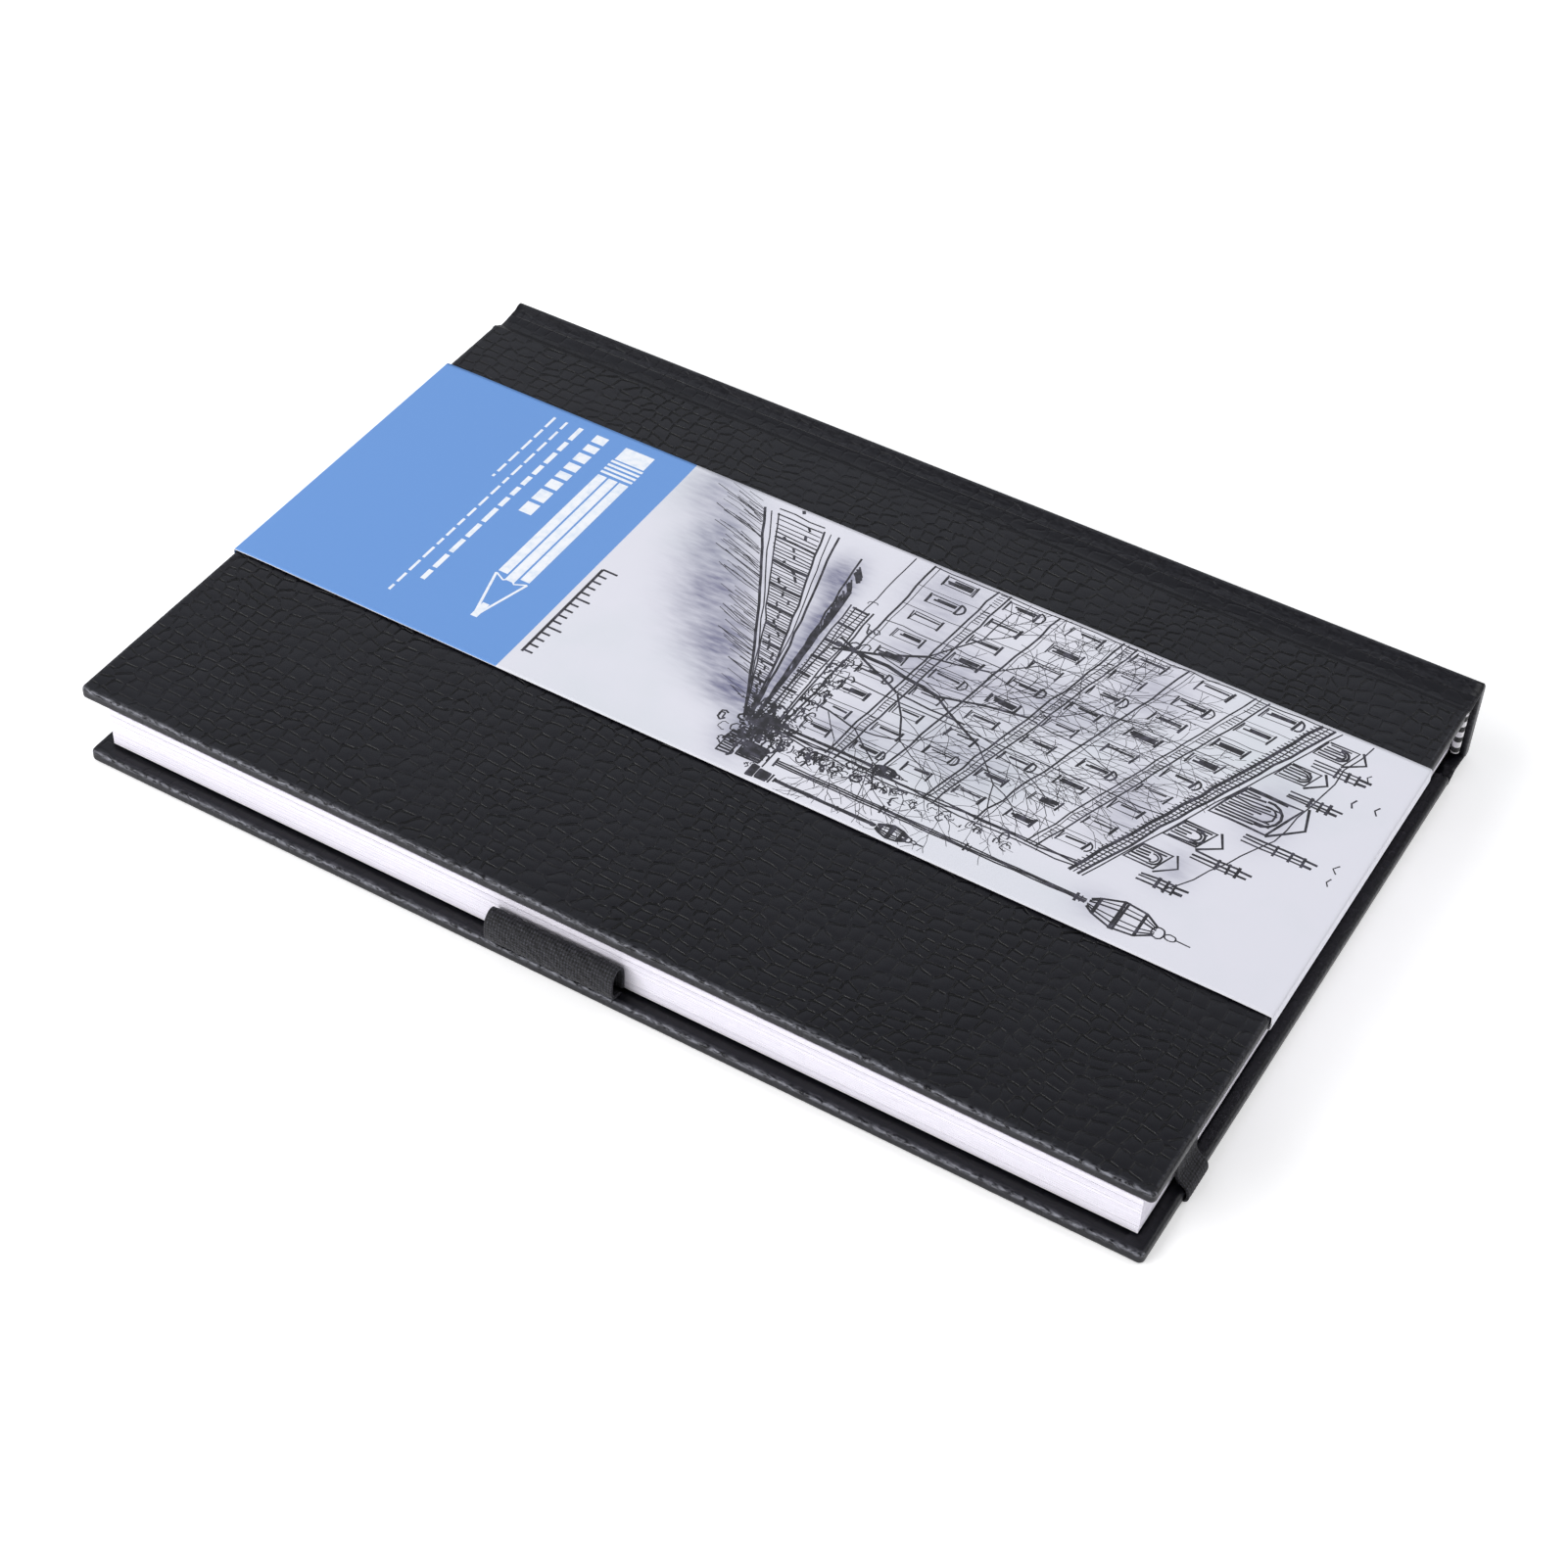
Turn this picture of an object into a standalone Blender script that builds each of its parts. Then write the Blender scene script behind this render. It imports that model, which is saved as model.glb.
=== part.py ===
"""Casebound sketchbook with an elastic strap, a pen loop and a paper belly band, in metres, +Z up.

The book lies closed on its back cover. X runs from the spine to the fore edge, Y from the tail to the
head, and Z up through the covers. The origin is the centre of the back cover's outer face.
"""

import math

import bmesh
import bpy
from mathutils import Vector

# Covers.
COVER_WIDTH = 0.148
COVER_HEIGHT = 0.225
BOARD = 0.0015
SKIN = 0.00035
GAP = 0.00025
TURN_IN = 0.004
CORNER_RADIUS = 0.0015
RIM_RADIUS = 0.0005
JOINT_WIDTH = 0.0105
JOINT_DEPTH = 0.0013
JOINT_STEP = 0.0008
JOINT_RISE = 0.0007

# Leaves.
SECTIONS = 8
SECTIONS_ABOVE_STRAP = 3
SECTION_THICKNESS = 0.0013
FLYLEAF = 0.0002
LEAF_GAP = 0.00012
SQUARE_ENDS = 0.003
SQUARE_FORE = 0.0037

# Back of the block: sewing, gauze, kraft paper, and the hollow that lets the spine swing away.
THREAD = 0.00035
THREAD_LENGTH = 0.006
THREAD_STATIONS = 5
GAUZE = 0.00025
KRAFT = 0.00025
LINING_GAP = 0.00015
HOLLOW = 0.0003
LINING_MARGIN = 0.002
BAND_TAPE = 0.012
BAND_BEAD_RADIUS = 0.0009

# Elastic strap.
STRAP_WIDTH = 0.008
STRAP = 0.0006
STRAP_GAP = 0.0002
STRAP_FROM_FORE = 0.020
STRAP_RUN = 0.0115
STRAP_SINK = 0.00012

# Pen loop.
LOOP = 0.0007
LOOP_TAB = 0.0005
LOOP_TAB_LENGTH = 0.015
LOOP_LENGTH = 0.0274
LOOP_CENTRE_Y = -0.0065
LOOP_INSIDE_X = 0.0042
LOOP_INSIDE_Z = 0.00575
LOOP_RADIUS = 0.0020
LOOP_STAND = 0.00025

# Paper belly band.
BAND_PAPER = 0.0002
BAND_GAP = 0.0002
BAND_WIDTH = 0.073
BAND_FROM_SPINE = 0.0285
BAND_FLAP = 0.035

# Levels through the book, from the back cover up.
COVER = 2 * SKIN + 2 * GAP + BOARD
SECTIONS_BELOW_STRAP = SECTIONS - SECTIONS_ABOVE_STRAP
BLOCK_BOTTOM = COVER + GAP
LOWER_FIRST = BLOCK_BOTTOM + FLYLEAF + LEAF_GAP
SECTION_PITCH = SECTION_THICKNESS + LEAF_GAP
LOWER_TOP = LOWER_FIRST + SECTIONS_BELOW_STRAP * SECTION_PITCH - LEAF_GAP
STRAP_BOTTOM = LOWER_TOP + STRAP_GAP
UPPER_FIRST = STRAP_BOTTOM + STRAP + STRAP_GAP
UPPER_TOP = UPPER_FIRST + SECTIONS_ABOVE_STRAP * SECTION_PITCH - LEAF_GAP
BLOCK_TOP = UPPER_TOP + LEAF_GAP + FLYLEAF
FLAP_LAYER = BAND_PAPER + 2 * BAND_GAP + LEAF_GAP / 2
THICKNESS = BLOCK_TOP + FLAP_LAYER + COVER

# Places along X and Y.
SPINE_FACE = -COVER_WIDTH / 2
FORE = COVER_WIDTH / 2
HEAD = COVER_HEIGHT / 2
SPINE_INNER = SPINE_FACE + COVER
KRAFT_X = SPINE_INNER + HOLLOW
GAUZE_X = KRAFT_X + KRAFT + LINING_GAP
THREAD_X = GAUZE_X + GAUZE + LINING_GAP
BLOCK_BACK = THREAD_X + THREAD + LINING_GAP
BLOCK_FORE = FORE - SQUARE_FORE
BLOCK_HEAD = HEAD - SQUARE_ENDS
BOARD_SHOULDER = SPINE_FACE + JOINT_WIDTH
STRAP_X = FORE - STRAP_FROM_FORE
LOOP_Y0 = LOOP_CENTRE_Y - LOOP_LENGTH / 2
LOOP_Y1 = LOOP_CENTRE_Y + LOOP_LENGTH / 2
LOOP_X0 = BLOCK_FORE + GAP
LOOP_Z0 = COVER + LOOP_STAND
BOARD_INNER = SKIN + GAP + BOARD

# Hinge lines, parallel to Y.
HINGE_RADIUS = COVER / 2
SPINE_HINGE = Vector((SPINE_FACE + HINGE_RADIUS, 0, HINGE_RADIUS))
COVER_HINGE = Vector((SPINE_FACE + HINGE_RADIUS, 0, THICKNESS - HINGE_RADIUS))
PAGE_HINGE = Vector((BLOCK_BACK - LINING_GAP, 0, THICKNESS / 2))

ARC_STEPS = 6

LEATHER = ("leather", (0.012, 0.012, 0.015), 0.42)
GREYBOARD = ("greyboard", (0.30, 0.28, 0.25), 0.9)
PAPER = ("paper", (0.90, 0.89, 0.93), 0.85)
ENDPAPER = ("endpaper", (0.86, 0.85, 0.88), 0.85)
KRAFT_PAPER = ("kraft", (0.45, 0.31, 0.18), 0.85)
COTTON = ("gauze", (0.72, 0.70, 0.64), 0.95)
STRIPED_CLOTH = ("striped_cloth", (0.5, 0.5, 0.5), 0.9)
ELASTIC = ("elastic", (0.010, 0.010, 0.012), 0.8)
PRINTED_PAPER = ("printed_paper", (0.42, 0.56, 0.80), 0.5)


def clear_scene():
    """Remove every object that the file opens with."""
    for item in list(bpy.data.objects):
        bpy.data.objects.remove(item, do_unlink=True)


def material(finish):
    """Return the finish's Principled material, made on first use."""
    name, colour, roughness = finish
    found = bpy.data.materials.get(name)
    if found:
        return found
    made = bpy.data.materials.new(name)
    made.use_nodes = True
    shader = made.node_tree.nodes["Principled BSDF"]
    shader.inputs["Base Color"].default_value = (*colour, 1.0)
    shader.inputs["Roughness"].default_value = roughness
    shader.inputs["Metallic"].default_value = 0.0
    return made


def pivot(name, place, parent=None):
    """Add an empty on a joint's axis; place is a world position."""
    empty = bpy.data.objects.new(name, None)
    bpy.context.scene.collection.objects.link(empty)
    empty.parent = parent
    empty.location = place - (world_place(parent) if parent else Vector())
    return empty


def world_place(item):
    """Return an empty's world position from its chain of parents."""
    place = item.location.copy()
    while item.parent:
        item = item.parent
        place += item.location
    return place


def piece(name, shape, finish, parent=None):
    """Make an object from a bmesh in world coordinates, with its origin on its parent's axis."""
    origin = world_place(parent) if parent else Vector()
    bmesh.ops.translate(shape, verts=shape.verts, vec=-origin)
    bmesh.ops.recalc_face_normals(shape, faces=shape.faces)
    mesh = bpy.data.meshes.new(name)
    shape.to_mesh(mesh)
    shape.free()
    made = bpy.data.objects.new(name, mesh)
    made.parent = parent
    made.data.materials.append(material(finish))
    bpy.context.scene.collection.objects.link(made)
    return made


def cut(target, shape, name):
    """Cut a world-coordinate bmesh out of an object with a Boolean that stays on it."""
    bmesh.ops.recalc_face_normals(shape, faces=shape.faces)
    mesh = bpy.data.meshes.new(name)
    shape.to_mesh(mesh)
    shape.free()
    cutter = bpy.data.objects.new(name, mesh)
    bpy.context.scene.collection.objects.link(cutter)
    cutter.hide_render = True
    cutter.display_type = "WIRE"
    modifier = target.modifiers.new(name, "BOOLEAN")
    modifier.operation = "DIFFERENCE"
    modifier.solver = "EXACT"
    modifier.object = cutter


def prism(outline, axis, low, high):
    """Extrude a flat outline along X, Y or Z; the outline's pairs are the other two axes in order."""
    place = {
        "X": lambda a, b, t: (t, a, b),
        "Y": lambda a, b, t: (a, t, b),
        "Z": lambda a, b, t: (a, b, t),
    }[axis]
    shape = bmesh.new()
    corners = [shape.verts.new(place(a, b, low)) for a, b in outline]
    face = shape.faces.new(corners)
    grown = bmesh.ops.extrude_face_region(shape, geom=[face])
    moved = [item for item in grown["geom"] if isinstance(item, bmesh.types.BMVert)]
    bmesh.ops.translate(shape, verts=moved, vec=Vector(place(0, 0, high - low)))
    return shape


def block(x0, x1, y0, y1, z0, z1):
    """Return a box between two corners."""
    return prism([(x0, y0), (x1, y0), (x1, y1), (x0, y1)], "Z", z0, z1)


def arc(centre_a, centre_b, radius, start, end):
    """Return points along an arc, angles in degrees."""
    angles = [start + (end - start) * step / ARC_STEPS for step in range(ARC_STEPS + 1)]
    turns = [math.radians(angle) for angle in angles]
    return [(centre_a + radius * math.cos(t), centre_b + radius * math.sin(t)) for t in turns]


def plate(x0, x1, half_y, z0, z1, radius):
    """Return a plate centred on Y, with its two corners at x1 rounded."""
    outline = [(x0, -half_y)]
    outline += arc(x1 - radius, -half_y + radius, radius, -90, 0)
    outline += arc(x1 - radius, half_y - radius, radius, 0, 90)
    outline += [(x0, half_y)]
    return prism(outline, "Z", min(z0, z1), max(z0, z1))


def at_depth(side, depth):
    """Return the height of a level that lies a depth inside a cover's outer face."""
    return THICKNESS - depth if side == "front" else depth


def cover_outline(side):
    """Return the outline of a covered board and its joint, in X and height."""
    shoulder = BOARD_SHOULDER
    foot = shoulder - JOINT_STEP
    lip = SPINE_HINGE.x + HINGE_RADIUS + GAP
    rows = [
        (FORE, 0),
        (shoulder, 0),
        (shoulder - JOINT_STEP / 3, JOINT_DEPTH / 2),
        (foot, JOINT_DEPTH),
        (foot - JOINT_DEPTH, JOINT_DEPTH),
        (lip, JOINT_RISE),
        (lip, JOINT_RISE + SKIN),
        (foot - JOINT_DEPTH, JOINT_DEPTH + SKIN),
        (shoulder + SKIN + GAP, JOINT_DEPTH + SKIN),
        (shoulder + SKIN + GAP, COVER),
        (FORE, COVER),
    ]
    return [(x, at_depth(side, depth)) for x, depth in rows]


def near(value, target):
    """Say whether two lengths are the same to a micrometre."""
    return abs(value - target) < 1e-6


def round_cover(shape, side):
    """Round a cover's two fore corners, then the rims of its two faces."""
    corners = [
        edge for edge in shape.edges
        if all(near(v.co.x, FORE) for v in edge.verts) and near(edge.verts[0].co.y, edge.verts[1].co.y)
    ]
    bmesh.ops.bevel(
        shape, geom=corners, offset=CORNER_RADIUS, segments=4, profile=0.5, affect="EDGES", clamp_overlap=True
    )
    rims = []
    for depth, spine_end in ((0, BOARD_SHOULDER), (COVER, BOARD_SHOULDER + SKIN + GAP)):
        level = at_depth(side, depth)
        for edge in shape.edges:
            on_level = all(near(v.co.z, level) for v in edge.verts)
            on_spine_end = all(near(v.co.x, spine_end) for v in edge.verts)
            if on_level and not on_spine_end:
                rims.append(edge)
    bmesh.ops.bevel(
        shape, geom=rims, offset=RIM_RADIUS, segments=2, profile=0.5, affect="EDGES", clamp_overlap=True
    )


def add_cover(side, parent=None):
    """Add one cover: its covering with turn-ins and joint, its board and its pastedown."""
    inside = CORNER_RADIUS - SKIN
    shape = prism(cover_outline(side), "Y", -HEAD, HEAD)
    round_cover(shape, side)
    skin = piece(f"{side}_cover_skin", shape, LEATHER, parent)
    board_x0 = BOARD_SHOULDER + SKIN
    cut(
        skin,
        plate(board_x0, FORE - SKIN, HEAD - SKIN, at_depth(side, SKIN), at_depth(side, COVER - SKIN), inside),
        f"{side}_board_space",
    )
    window_x1 = FORE - TURN_IN
    cut(
        skin,
        block(board_x0, window_x1, -HEAD + TURN_IN, HEAD - TURN_IN,
              *sorted((at_depth(side, COVER / 2), at_depth(side, COVER + SKIN)))),
        f"{side}_turn_in_window",
    )
    board = piece(
        f"{side}_board",
        plate(board_x0 + GAP, FORE - SKIN - GAP, HEAD - SKIN - GAP,
              at_depth(side, SKIN + GAP), at_depth(side, BOARD_INNER), inside - GAP),
        GREYBOARD, parent,
    )
    half_y = HEAD - TURN_IN - GAP
    piece(
        f"{side}_pastedown",
        block(board_x0 + GAP, window_x1 - GAP, -half_y, half_y,
              *sorted((at_depth(side, COVER - SKIN), at_depth(side, COVER)))),
        ENDPAPER, parent,
    )
    return skin, board


def add_spine(parent):
    """Add the spine: a board in its covering, with a lining on its inner face."""
    ends = HINGE_RADIUS
    outline = arc(SPINE_FACE + ends, ends, ends, 180, 360)
    outline += arc(SPINE_FACE + ends, THICKNESS - ends, ends, 0, 180)
    skin = piece("spine_skin", prism(outline, "Y", -HEAD, HEAD), LEATHER, parent)
    cavity_end = HINGE_RADIUS
    cut(
        skin,
        block(SPINE_FACE + SKIN, SPINE_INNER - SKIN, -HEAD + SKIN, HEAD - SKIN,
              cavity_end, THICKNESS - cavity_end),
        "spine_board_space",
    )
    cut(
        skin,
        block(SPINE_FACE + COVER / 2, SPINE_INNER + SKIN, -HEAD + TURN_IN, HEAD - TURN_IN,
              cavity_end, THICKNESS - cavity_end),
        "spine_turn_in_window",
    )
    piece(
        "spine_board",
        block(SPINE_FACE + SKIN + GAP, SPINE_INNER - SKIN - GAP, -HEAD + SKIN + GAP, HEAD - SKIN - GAP,
              cavity_end + GAP, THICKNESS - cavity_end - GAP),
        GREYBOARD, parent,
    )
    piece(
        "spine_inner_lining",
        block(SPINE_INNER - SKIN, SPINE_INNER, -HEAD + TURN_IN + GAP, HEAD - TURN_IN - GAP,
              cavity_end + GAP, THICKNESS - cavity_end - GAP),
        KRAFT_PAPER, parent,
    )


def leaves(name, z0, thickness, finish, parent=None):
    """Add a stack of leaves that lies flat in the block."""
    piece(name, block(BLOCK_BACK, BLOCK_FORE, -BLOCK_HEAD, BLOCK_HEAD, z0, z0 + thickness), finish, parent)


def add_pages(pivots):
    """Add the sections and flyleaves; section_1 lies under the front cover."""
    leaves("back_flyleaf", BLOCK_BOTTOM, FLYLEAF, ENDPAPER)
    for place in range(SECTIONS_BELOW_STRAP):
        leaves(f"section_{SECTIONS - place}", LOWER_FIRST + place * SECTION_PITCH, SECTION_THICKNESS, PAPER)
    for place in range(SECTIONS_ABOVE_STRAP):
        number = SECTIONS_ABOVE_STRAP - place
        height = UPPER_FIRST + place * SECTION_PITCH
        leaves(f"section_{number}", height, SECTION_THICKNESS, PAPER, pivots[f"section_{number}"])
    leaves("front_flyleaf", BLOCK_TOP - FLYLEAF, FLYLEAF, ENDPAPER, pivots["front_flyleaf"])


def add_block_back():
    """Add what holds the block together at its back: threads, gauze, kraft paper and two bands."""
    span = 2 * BLOCK_HEAD / (THREAD_STATIONS + 1)
    for station in range(THREAD_STATIONS):
        y0 = -BLOCK_HEAD + span * (station + 1) - THREAD_LENGTH / 2
        stitch = block(THREAD_X, THREAD_X + THREAD, y0, y0 + THREAD_LENGTH, BLOCK_BOTTOM, BLOCK_TOP)
        piece(f"sewing_thread_{station + 1}", stitch, COTTON)
    gauze_half = BLOCK_HEAD - BAND_TAPE - GAP
    piece("spine_gauze", block(GAUZE_X, GAUZE_X + GAUZE, -gauze_half, gauze_half, BLOCK_BOTTOM, BLOCK_TOP), COTTON)
    kraft_half = BLOCK_HEAD - LINING_MARGIN
    piece("kraft_lining", block(KRAFT_X, KRAFT_X + KRAFT, -kraft_half, kraft_half, BLOCK_BOTTOM, BLOCK_TOP),
          KRAFT_PAPER)
    for name, end in (("head_band", 1), ("tail_band", -1)):
        bead = BLOCK_HEAD + GAP
        outline = [(GAUZE_X, BLOCK_HEAD - BAND_TAPE), (GAUZE_X + GAUZE, BLOCK_HEAD - BAND_TAPE),
                   (GAUZE_X + GAUZE, bead)]
        outline += arc(GAUZE_X + BAND_BEAD_RADIUS, bead + BAND_BEAD_RADIUS, BAND_BEAD_RADIUS, -90, 180)
        outline = [(x, end * y) for x, y in outline]
        piece(name, prism(outline, "Z", BLOCK_BOTTOM, BLOCK_TOP), STRIPED_CLOTH)


def ribbon(route, thickness):
    """Return the outline of a strip that follows a route, half its thickness to each side."""
    left = []
    right = []
    for index, point in enumerate(route):
        before = Vector(route[max(index - 1, 0)])
        after = Vector(route[min(index + 1, len(route) - 1)])
        along = (after - before).normalized()
        side = Vector((-along.y, along.x)) * thickness / 2
        left.append(tuple(Vector(point) + side))
        right.append(tuple(Vector(point) - side))
    return left + right[::-1]


def strap_leg_route():
    """Return the head leg's middle line in Y and Z, from under the strand to its glued end."""
    half = STRAP / 2
    top_y = BLOCK_HEAD + GAP + half
    outside = HEAD + GAP + half
    run_z = STRAP_SINK + half
    slot_y = HEAD - STRAP_RUN
    bend = outside - half
    return [
        (top_y, STRAP_BOTTOM - GAP),
        (top_y, COVER + 3 * STRAP),
        (outside, COVER),
        *arc(bend, run_z + half, half, 0, -90)[1:],
        (slot_y + 2 * STRAP, run_z),
        *arc(slot_y + STRAP, run_z + STRAP, STRAP, -90, -180),
        (slot_y, BOARD_INNER - GAP / 2),
    ]


def add_strap(parent, skin, board):
    """Add the elastic strand between the leaves, and its two legs that end in the back cover."""
    reach = BLOCK_HEAD + GAP + STRAP
    x0 = STRAP_X - STRAP_WIDTH / 2
    x1 = STRAP_X + STRAP_WIDTH / 2
    piece("elastic_strap", block(x0, x1, -reach, reach, STRAP_BOTTOM, STRAP_BOTTOM + STRAP), ELASTIC, parent)
    channel = STRAP_SINK + STRAP + GAP
    slot_y = HEAD - STRAP_RUN
    for name, end in (("head", 1), ("tail", -1)):
        outline = [(end * y, z) for y, z in ribbon(strap_leg_route(), STRAP)]
        piece(f"strap_leg_{name}", prism(outline, "X", x0, x1), ELASTIC)
        inner_y = end * (slot_y - STRAP / 2 - GAP)
        outer_y = end * (HEAD + STRAP)
        slot_end = end * (slot_y + STRAP / 2 + GAP)
        for target, label in ((skin, "skin"), (board, "board")):
            cut(
                target,
                block(x0 - GAP, x1 + GAP, *sorted((inner_y, outer_y)), -STRAP, channel),
                f"{label}_channel_{name}",
            )
        cut(
            board,
            block(x0 - GAP, x1 + GAP, *sorted((inner_y, slot_end)), -STRAP, COVER),
            f"board_slot_{name}",
        )


def add_pen_loop(skin, board):
    """Add the pen loop, with its glued tab sunk in the back board under the pastedown."""
    x0 = LOOP_X0
    x1 = x0 + LOOP_INSIDE_X + 2 * LOOP
    z0 = LOOP_Z0
    z1 = z0 + LOOP_INSIDE_Z + 2 * LOOP
    radius = LOOP_RADIUS
    neck = x0 + 2 * LOOP
    tab_top = BOARD_INNER
    tab_bottom = tab_top - LOOP_TAB
    tab_end = neck - LOOP_TAB_LENGTH
    outline = [(tab_end, tab_bottom), (neck, tab_bottom), (neck, z0)]
    outline += arc(x1 - radius, z0 + radius, radius, -90, 0)
    outline += arc(x1 - radius, z1 - radius, radius, 0, 90)
    outline += arc(x0 + radius, z1 - radius, radius, 90, 180)
    outline += [(x0, tab_top), (tab_end, tab_top)]
    loop = piece("pen_loop", prism(outline, "Y", LOOP_Y0, LOOP_Y1), ELASTIC)
    bore = radius - LOOP
    inside = arc(x1 - radius, z0 + radius, bore, -90, 0)
    inside += arc(x1 - radius, z1 - radius, bore, 0, 90)
    inside += arc(x0 + radius, z1 - radius, bore, 90, 180)
    inside += arc(x0 + radius, z0 + radius, bore, 180, 270)
    cut(loop, prism(inside, "Y", LOOP_Y0 - LOOP, LOOP_Y1 + LOOP), "pen_loop_inside")
    y0 = LOOP_Y0 - GAP
    y1 = LOOP_Y1 + GAP
    cut(board, block(tab_end - GAP, neck + GAP, y0, y1, tab_bottom - GAP, COVER), "board_tab_recess")
    cut(skin, block(FORE - TURN_IN - GAP, neck + GAP, y0, y1, tab_top, COVER + SKIN), "turn_in_notch")


def add_belly_band(parent):
    """Add the paper band that folds round the front cover's head and tail."""
    inside = HEAD + BAND_GAP
    outside = inside + BAND_PAPER
    flap = inside - BAND_FLAP
    low = THICKNESS - COVER - BAND_GAP - BAND_PAPER
    top = THICKNESS + BAND_GAP + BAND_PAPER
    outline = [
        (-flap, low), (-outside, low), (-outside, top), (outside, top), (outside, low), (flap, low),
        (flap, low + BAND_PAPER), (inside, low + BAND_PAPER), (inside, top - BAND_PAPER),
        (-inside, top - BAND_PAPER), (-inside, low + BAND_PAPER), (-flap, low + BAND_PAPER),
    ]
    x0 = SPINE_FACE + BAND_FROM_SPINE
    piece("belly_band", prism(outline, "X", x0, x0 + BAND_WIDTH), PRINTED_PAPER, parent)


def main():
    """Build the sketchbook."""
    clear_scene()
    spine = pivot("spine_fold_axis", SPINE_HINGE)
    front = pivot("front_cover_axis", COVER_HINGE, spine)
    band = pivot("belly_band_slide_axis", Vector((0, 0, THICKNESS)), front)
    strap = pivot("strap_slip_axis", Vector((STRAP_X, 0, STRAP_BOTTOM)))
    turning = ["front_flyleaf"] + [f"section_{n + 1}" for n in range(SECTIONS_ABOVE_STRAP)]
    pages = {name: pivot(f"{name}_axis", PAGE_HINGE) for name in turning}
    skin, board = add_cover("back")
    add_cover("front", front)
    add_spine(spine)
    add_pages(pages)
    add_block_back()
    add_strap(strap, skin, board)
    add_pen_loop(skin, board)
    add_belly_band(band)


main()
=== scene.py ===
"""Looks of a casebound sketchbook: embossed leather-look case, leaf block, elastic, pen loop and paper band.

Everything is in metres. X runs from the spine to the fore edge, Y from the tail to the head, Z up.
"""

import logging
import math
import random
from dataclasses import dataclass, field
from enum import Enum
from typing import Callable, Sequence

import bmesh
import bpy
import numpy as np
from bpy.types import ID, Material, Mesh, Node, NodeSocket, NodeTree, Object
from mathutils import Matrix, Vector


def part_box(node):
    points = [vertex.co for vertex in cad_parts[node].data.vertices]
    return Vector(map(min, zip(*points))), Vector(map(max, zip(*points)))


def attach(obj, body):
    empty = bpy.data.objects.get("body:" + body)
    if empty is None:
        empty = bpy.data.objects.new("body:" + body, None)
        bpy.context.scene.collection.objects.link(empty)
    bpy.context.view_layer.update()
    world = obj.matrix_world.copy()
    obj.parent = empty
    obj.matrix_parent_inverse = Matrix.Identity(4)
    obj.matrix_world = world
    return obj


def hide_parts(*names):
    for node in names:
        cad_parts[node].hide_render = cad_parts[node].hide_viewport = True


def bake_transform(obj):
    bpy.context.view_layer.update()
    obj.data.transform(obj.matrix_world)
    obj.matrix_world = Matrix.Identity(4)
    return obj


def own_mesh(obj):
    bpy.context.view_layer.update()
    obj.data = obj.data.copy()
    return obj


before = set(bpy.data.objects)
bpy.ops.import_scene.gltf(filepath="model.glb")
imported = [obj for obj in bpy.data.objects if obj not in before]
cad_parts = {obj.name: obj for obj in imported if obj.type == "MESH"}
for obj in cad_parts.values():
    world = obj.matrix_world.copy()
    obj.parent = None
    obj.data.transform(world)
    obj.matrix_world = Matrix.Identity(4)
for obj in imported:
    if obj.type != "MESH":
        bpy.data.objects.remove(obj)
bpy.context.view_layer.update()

MM = 0.001
TINY = 1e-6
NEAR = 1e-7
LOG = logging.getLogger("sketchbook")
WHITE = (1.0, 1.0, 1.0, 1.0)
RIGHT = Vector((1, 0, 0))
HEADWARD = Vector((0, 1, 0))
UP = Vector((0, 0, 1))
SOCKETS = {int: "Int", float: "Float", tuple: "Vector", type(None): "Material"}

Value = float | Sequence[float] | NodeSocket
Faces = list[list[int]]
Pair = tuple[float, float]
Stroke = tuple[list[Pair], float]


class Side(Enum):
    """The two covers."""

    FRONT = "front"
    BACK = "back"


class End(Enum):
    """The two ends of the book along Y."""

    HEAD = 1
    TAIL = -1


@dataclass(frozen=True)
class Box:
    """The box of one or more CAD nodes at rest."""

    low: Vector
    high: Vector

    @classmethod
    def of(cls, *nodes: str) -> "Box":
        """Return the box around the named nodes.

        Args:
            nodes: CAD node names.

        Returns:
            The box.
        """
        corners = [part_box(node) for node in nodes]
        low = Vector([min(pair[0][axis] for pair in corners) for axis in range(3)])
        high = Vector([max(pair[1][axis] for pair in corners) for axis in range(3)])
        return cls(low, high)

    @property
    def size(self) -> Vector:
        """Return the box's three lengths."""
        return self.high - self.low

    @property
    def centre(self) -> Vector:
        """Return the middle of the box."""
        return (self.high + self.low) / 2


def linear(code: str) -> tuple[float, float, float, float]:
    """Turn an sRGB hex colour into a linear colour with alpha.

    Args:
        code: Six hex digits after a hash mark.

    Returns:
        Red, green, blue and alpha.
    """
    parts = [int(code[start:start + 2], 16) / 255 for start in (1, 3, 5)]
    curve = [part / 12.92 if part <= 0.04045 else ((part + 0.055) / 1.055) ** 2.4 for part in parts]
    return (*curve, 1.0)


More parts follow.
